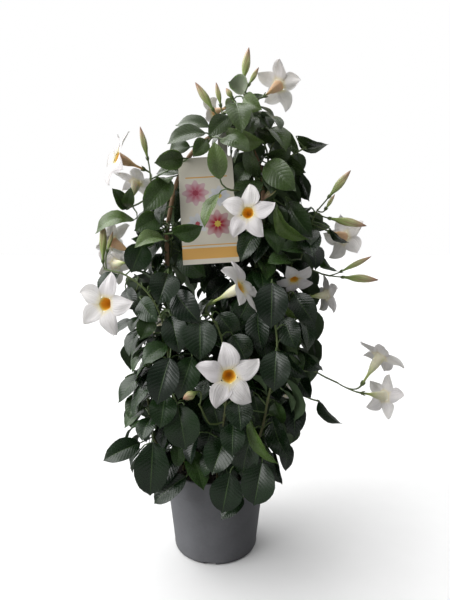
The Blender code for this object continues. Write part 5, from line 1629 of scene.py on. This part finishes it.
def cane_finish():
    """Dried bamboo: long fibres, and a dark ring at each node."""
    made, tree = new_finish("bamboo cane")
    turn, run = shares_on(tree, "uv")
    fibre = noise_at(tree, 5.0, 5.0, 0.6, vector_of(tree, turn * 14.0, run * 9.0))
    color = graded(tree, fibre, (
        (0.3, (0.30, 0.165, 0.09)), (0.55, (0.44, 0.27, 0.16)), (0.8, (0.53, 0.36, 0.22)),
    ))
    node = abs((run + CANE_NODE_SHIFT) % CANE_NODE_GAP - CANE_NODE_GAP / 2).eased(0.0020, 0.0008)
    return dressed(made, {
        "Base Color": blended(tree, node * 0.7, color, (0.16, 0.085, 0.045)),
        "Roughness": 0.46,
        "Normal": bumped(tree, fibre - node, 0.4, 0.0005),
    })


def pot_finish():
    """Matt grey moulded plastic with a fine grain, dusty with soil at its rim and foot."""
    made, tree = new_finish("grey pot")
    height = parts_of(tree, own_place(tree))[2]
    color, value = mottled(tree, (0.135, 0.137, 0.147), 26.0, 0.16)
    dusty = height.eased(POT_HEIGHT - 0.012, POT_HEIGHT) + height.eased(0.016, 0.0)
    dust = dusty * noise_at(tree, 110.0, 5.0, 0.65).eased(0.50, 0.72) * 0.55
    return dressed(made, {
        "Base Color": blended(tree, dust, color, (0.20, 0.165, 0.125)),
        "Roughness": value * 0.16 + 0.38,
        "Normal": bumped(tree, noise_at(tree, 1400.0, 2.0), 0.35, 0.0002),
    })


def soil_finish():
    """Dark peaty soil with paler fibres."""
    made, tree = new_finish("peaty soil")
    color = mottled(tree, (0.026, 0.018, 0.012), 130.0, 0.6)[0]
    fibre = noise_at(tree, 420.0, 6.0, 0.7).eased(0.60, 0.70)
    return dressed(made, {
        "Base Color": blended(tree, fibre * 0.6, color, (0.085, 0.060, 0.036)),
        "Roughness": 0.95,
        "Normal": bumped(tree, noise_at(tree, 600.0, 5.0), 0.9, 0.0015),
    })


def print_finish():
    """The card's front: a plain print of ochre bands and rosettes on warm off-white."""
    made, tree = new_finish("card print")
    across, up = shares_on(tree, "uv")
    bands = up.band(0.045, 0.145).maths("MAXIMUM", up.band(0.165, 0.175))
    bands = bands.maths("MAXIMUM", up.band(0.80, 0.812) * across.band(0.12, 0.88))
    color = blended(tree, bands, mottled(tree, (0.66, 0.62, 0.53), 30.0, 0.04)[0], OCHRE)
    for x, y, size, outer, middle in ROSETTES:
        whole, centre, shade = of_group(tree, rosette, {
            "Across": across - x, "Up": (up - y) * (CARD_HEIGHT / CARD_WIDTH), "Size": size * 1.9,
        })
        pale = [0.55 * part + 0.35 for part in outer]
        color = blended(tree, whole, color, blended(tree, shade.eased(0.2, 1.1), outer, pale))
        color = blended(tree, centre, color, middle)
    return dressed(made, {
        "Base Color": color,
        "Roughness": 0.42,
        "Normal": bumped(tree, noise_at(tree, 800.0, 2.0), 0.10, 0.0002),
        "Coat Weight": 0.15,
    })


def board_finish():
    """The card's plain back, edges and tab."""
    made, tree = new_finish("card board")
    return dressed(made, {
        "Base Color": mottled(tree, (0.58, 0.55, 0.48), 90.0, 0.10)[0],
        "Roughness": 0.75,
        "Normal": bumped(tree, noise_at(tree, 700.0, 4.0), 0.2, 0.0003),
    })


def seen_directly(tree):
    """1 for what the camera sees itself, 0 for the light that bounces."""
    return Field(add_node(tree, "ShaderNodeLightPath").outputs["Is Camera Ray"])


def floor_finish():
    """A plain pale floor that throws little light back up on the plant."""
    made, tree = new_finish("pale floor")
    shade = blended(tree, seen_directly(tree), (0.30, 0.30, 0.30), (0.88, 0.88, 0.88))
    return dressed(made, {
        "Base Color": mottled(tree, shade, 3.0, 0.02)[0],
        "Roughness": 0.8,
        "Specular IOR Level": 0.1,
    })


def make_sky():
    """A white studio: bright above, behind and to the left of the plant, and dim in front of it."""
    world = bpy.data.worlds.new("studio")
    world.use_nodes = True
    tree = world.node_tree
    way = parts_of(tree, Field(add_node(tree, "ShaderNodeTexCoord").outputs["Generated"]))
    light = SKY_DIM
    for axis, low, high, gain in SKY_GAINS:
        light = way["XYZ".index(axis)].eased(low, high) * gain + light
    strength = add_node(tree, "ShaderNodeMix", {0: seen_directly(tree), 2: light, 3: 1.0}, data_type="FLOAT")
    background = tree.nodes["Background"].inputs
    feed(tree, background["Strength"], Field(strength.outputs[0]))
    feed(tree, background["Color"], WHITE)
    bpy.context.scene.world = world


def make_studio():
    """The floor, the light and the camera."""
    shape = bmesh.new()
    bmesh.ops.create_grid(shape, x_segments=4, y_segments=4, size=FLOOR_REACH)
    floor = new_object("floor", mesh_from("floor", shape))
    floor.data.materials.append(floor_finish())
    make_sky()
    for name, source, spread, energy in SUNS:
        lamp = bpy.data.lights.new(name, "SUN")
        lamp.angle = spread
        lamp.energy = energy
        new_object(name, lamp).rotation_euler = Vector(source).to_track_quat("Z", "Y").to_euler()
    lens = bpy.data.cameras.new("camera")
    lens.sensor_fit = "VERTICAL"
    lens.sensor_height = SENSOR
    lens.lens = SENSOR * FOCAL / (2 * CENTRE_ROW)
    lens.clip_start = 0.01
    camera = new_object("camera", lens)
    camera.location = EYE
    camera.rotation_euler = (pi / 2 - PITCH, 0.0, 0.0)
    bpy.context.scene.camera = camera
    bpy.context.scene.view_settings.view_transform = "Standard"


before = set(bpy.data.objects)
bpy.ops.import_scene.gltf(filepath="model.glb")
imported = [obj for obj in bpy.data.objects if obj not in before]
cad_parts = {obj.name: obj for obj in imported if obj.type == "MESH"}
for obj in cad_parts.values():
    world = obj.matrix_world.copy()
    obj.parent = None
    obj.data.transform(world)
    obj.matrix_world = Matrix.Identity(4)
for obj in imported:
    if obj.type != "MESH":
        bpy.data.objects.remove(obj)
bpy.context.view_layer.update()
mottle = mottle_group()
rosette = rosette_group()
finish = {name: leaf_finish(name, *colors) for name, colors in LEAF_COLORS.items()}
finish.update({
    "petal": petal_finish(),
    "tube": tube_finish(),
    "stem": stem_finish(),
    "bud": bud_finish(),
    "cane": cane_finish(),
    "pot": pot_finish(),
    "soil": soil_finish(),
    "print": print_finish(),
    "board": board_finish(),
})
make_pot()
make_soil()
make_hoop()
make_card()
make_card_tab()
make_plant()
make_studio()
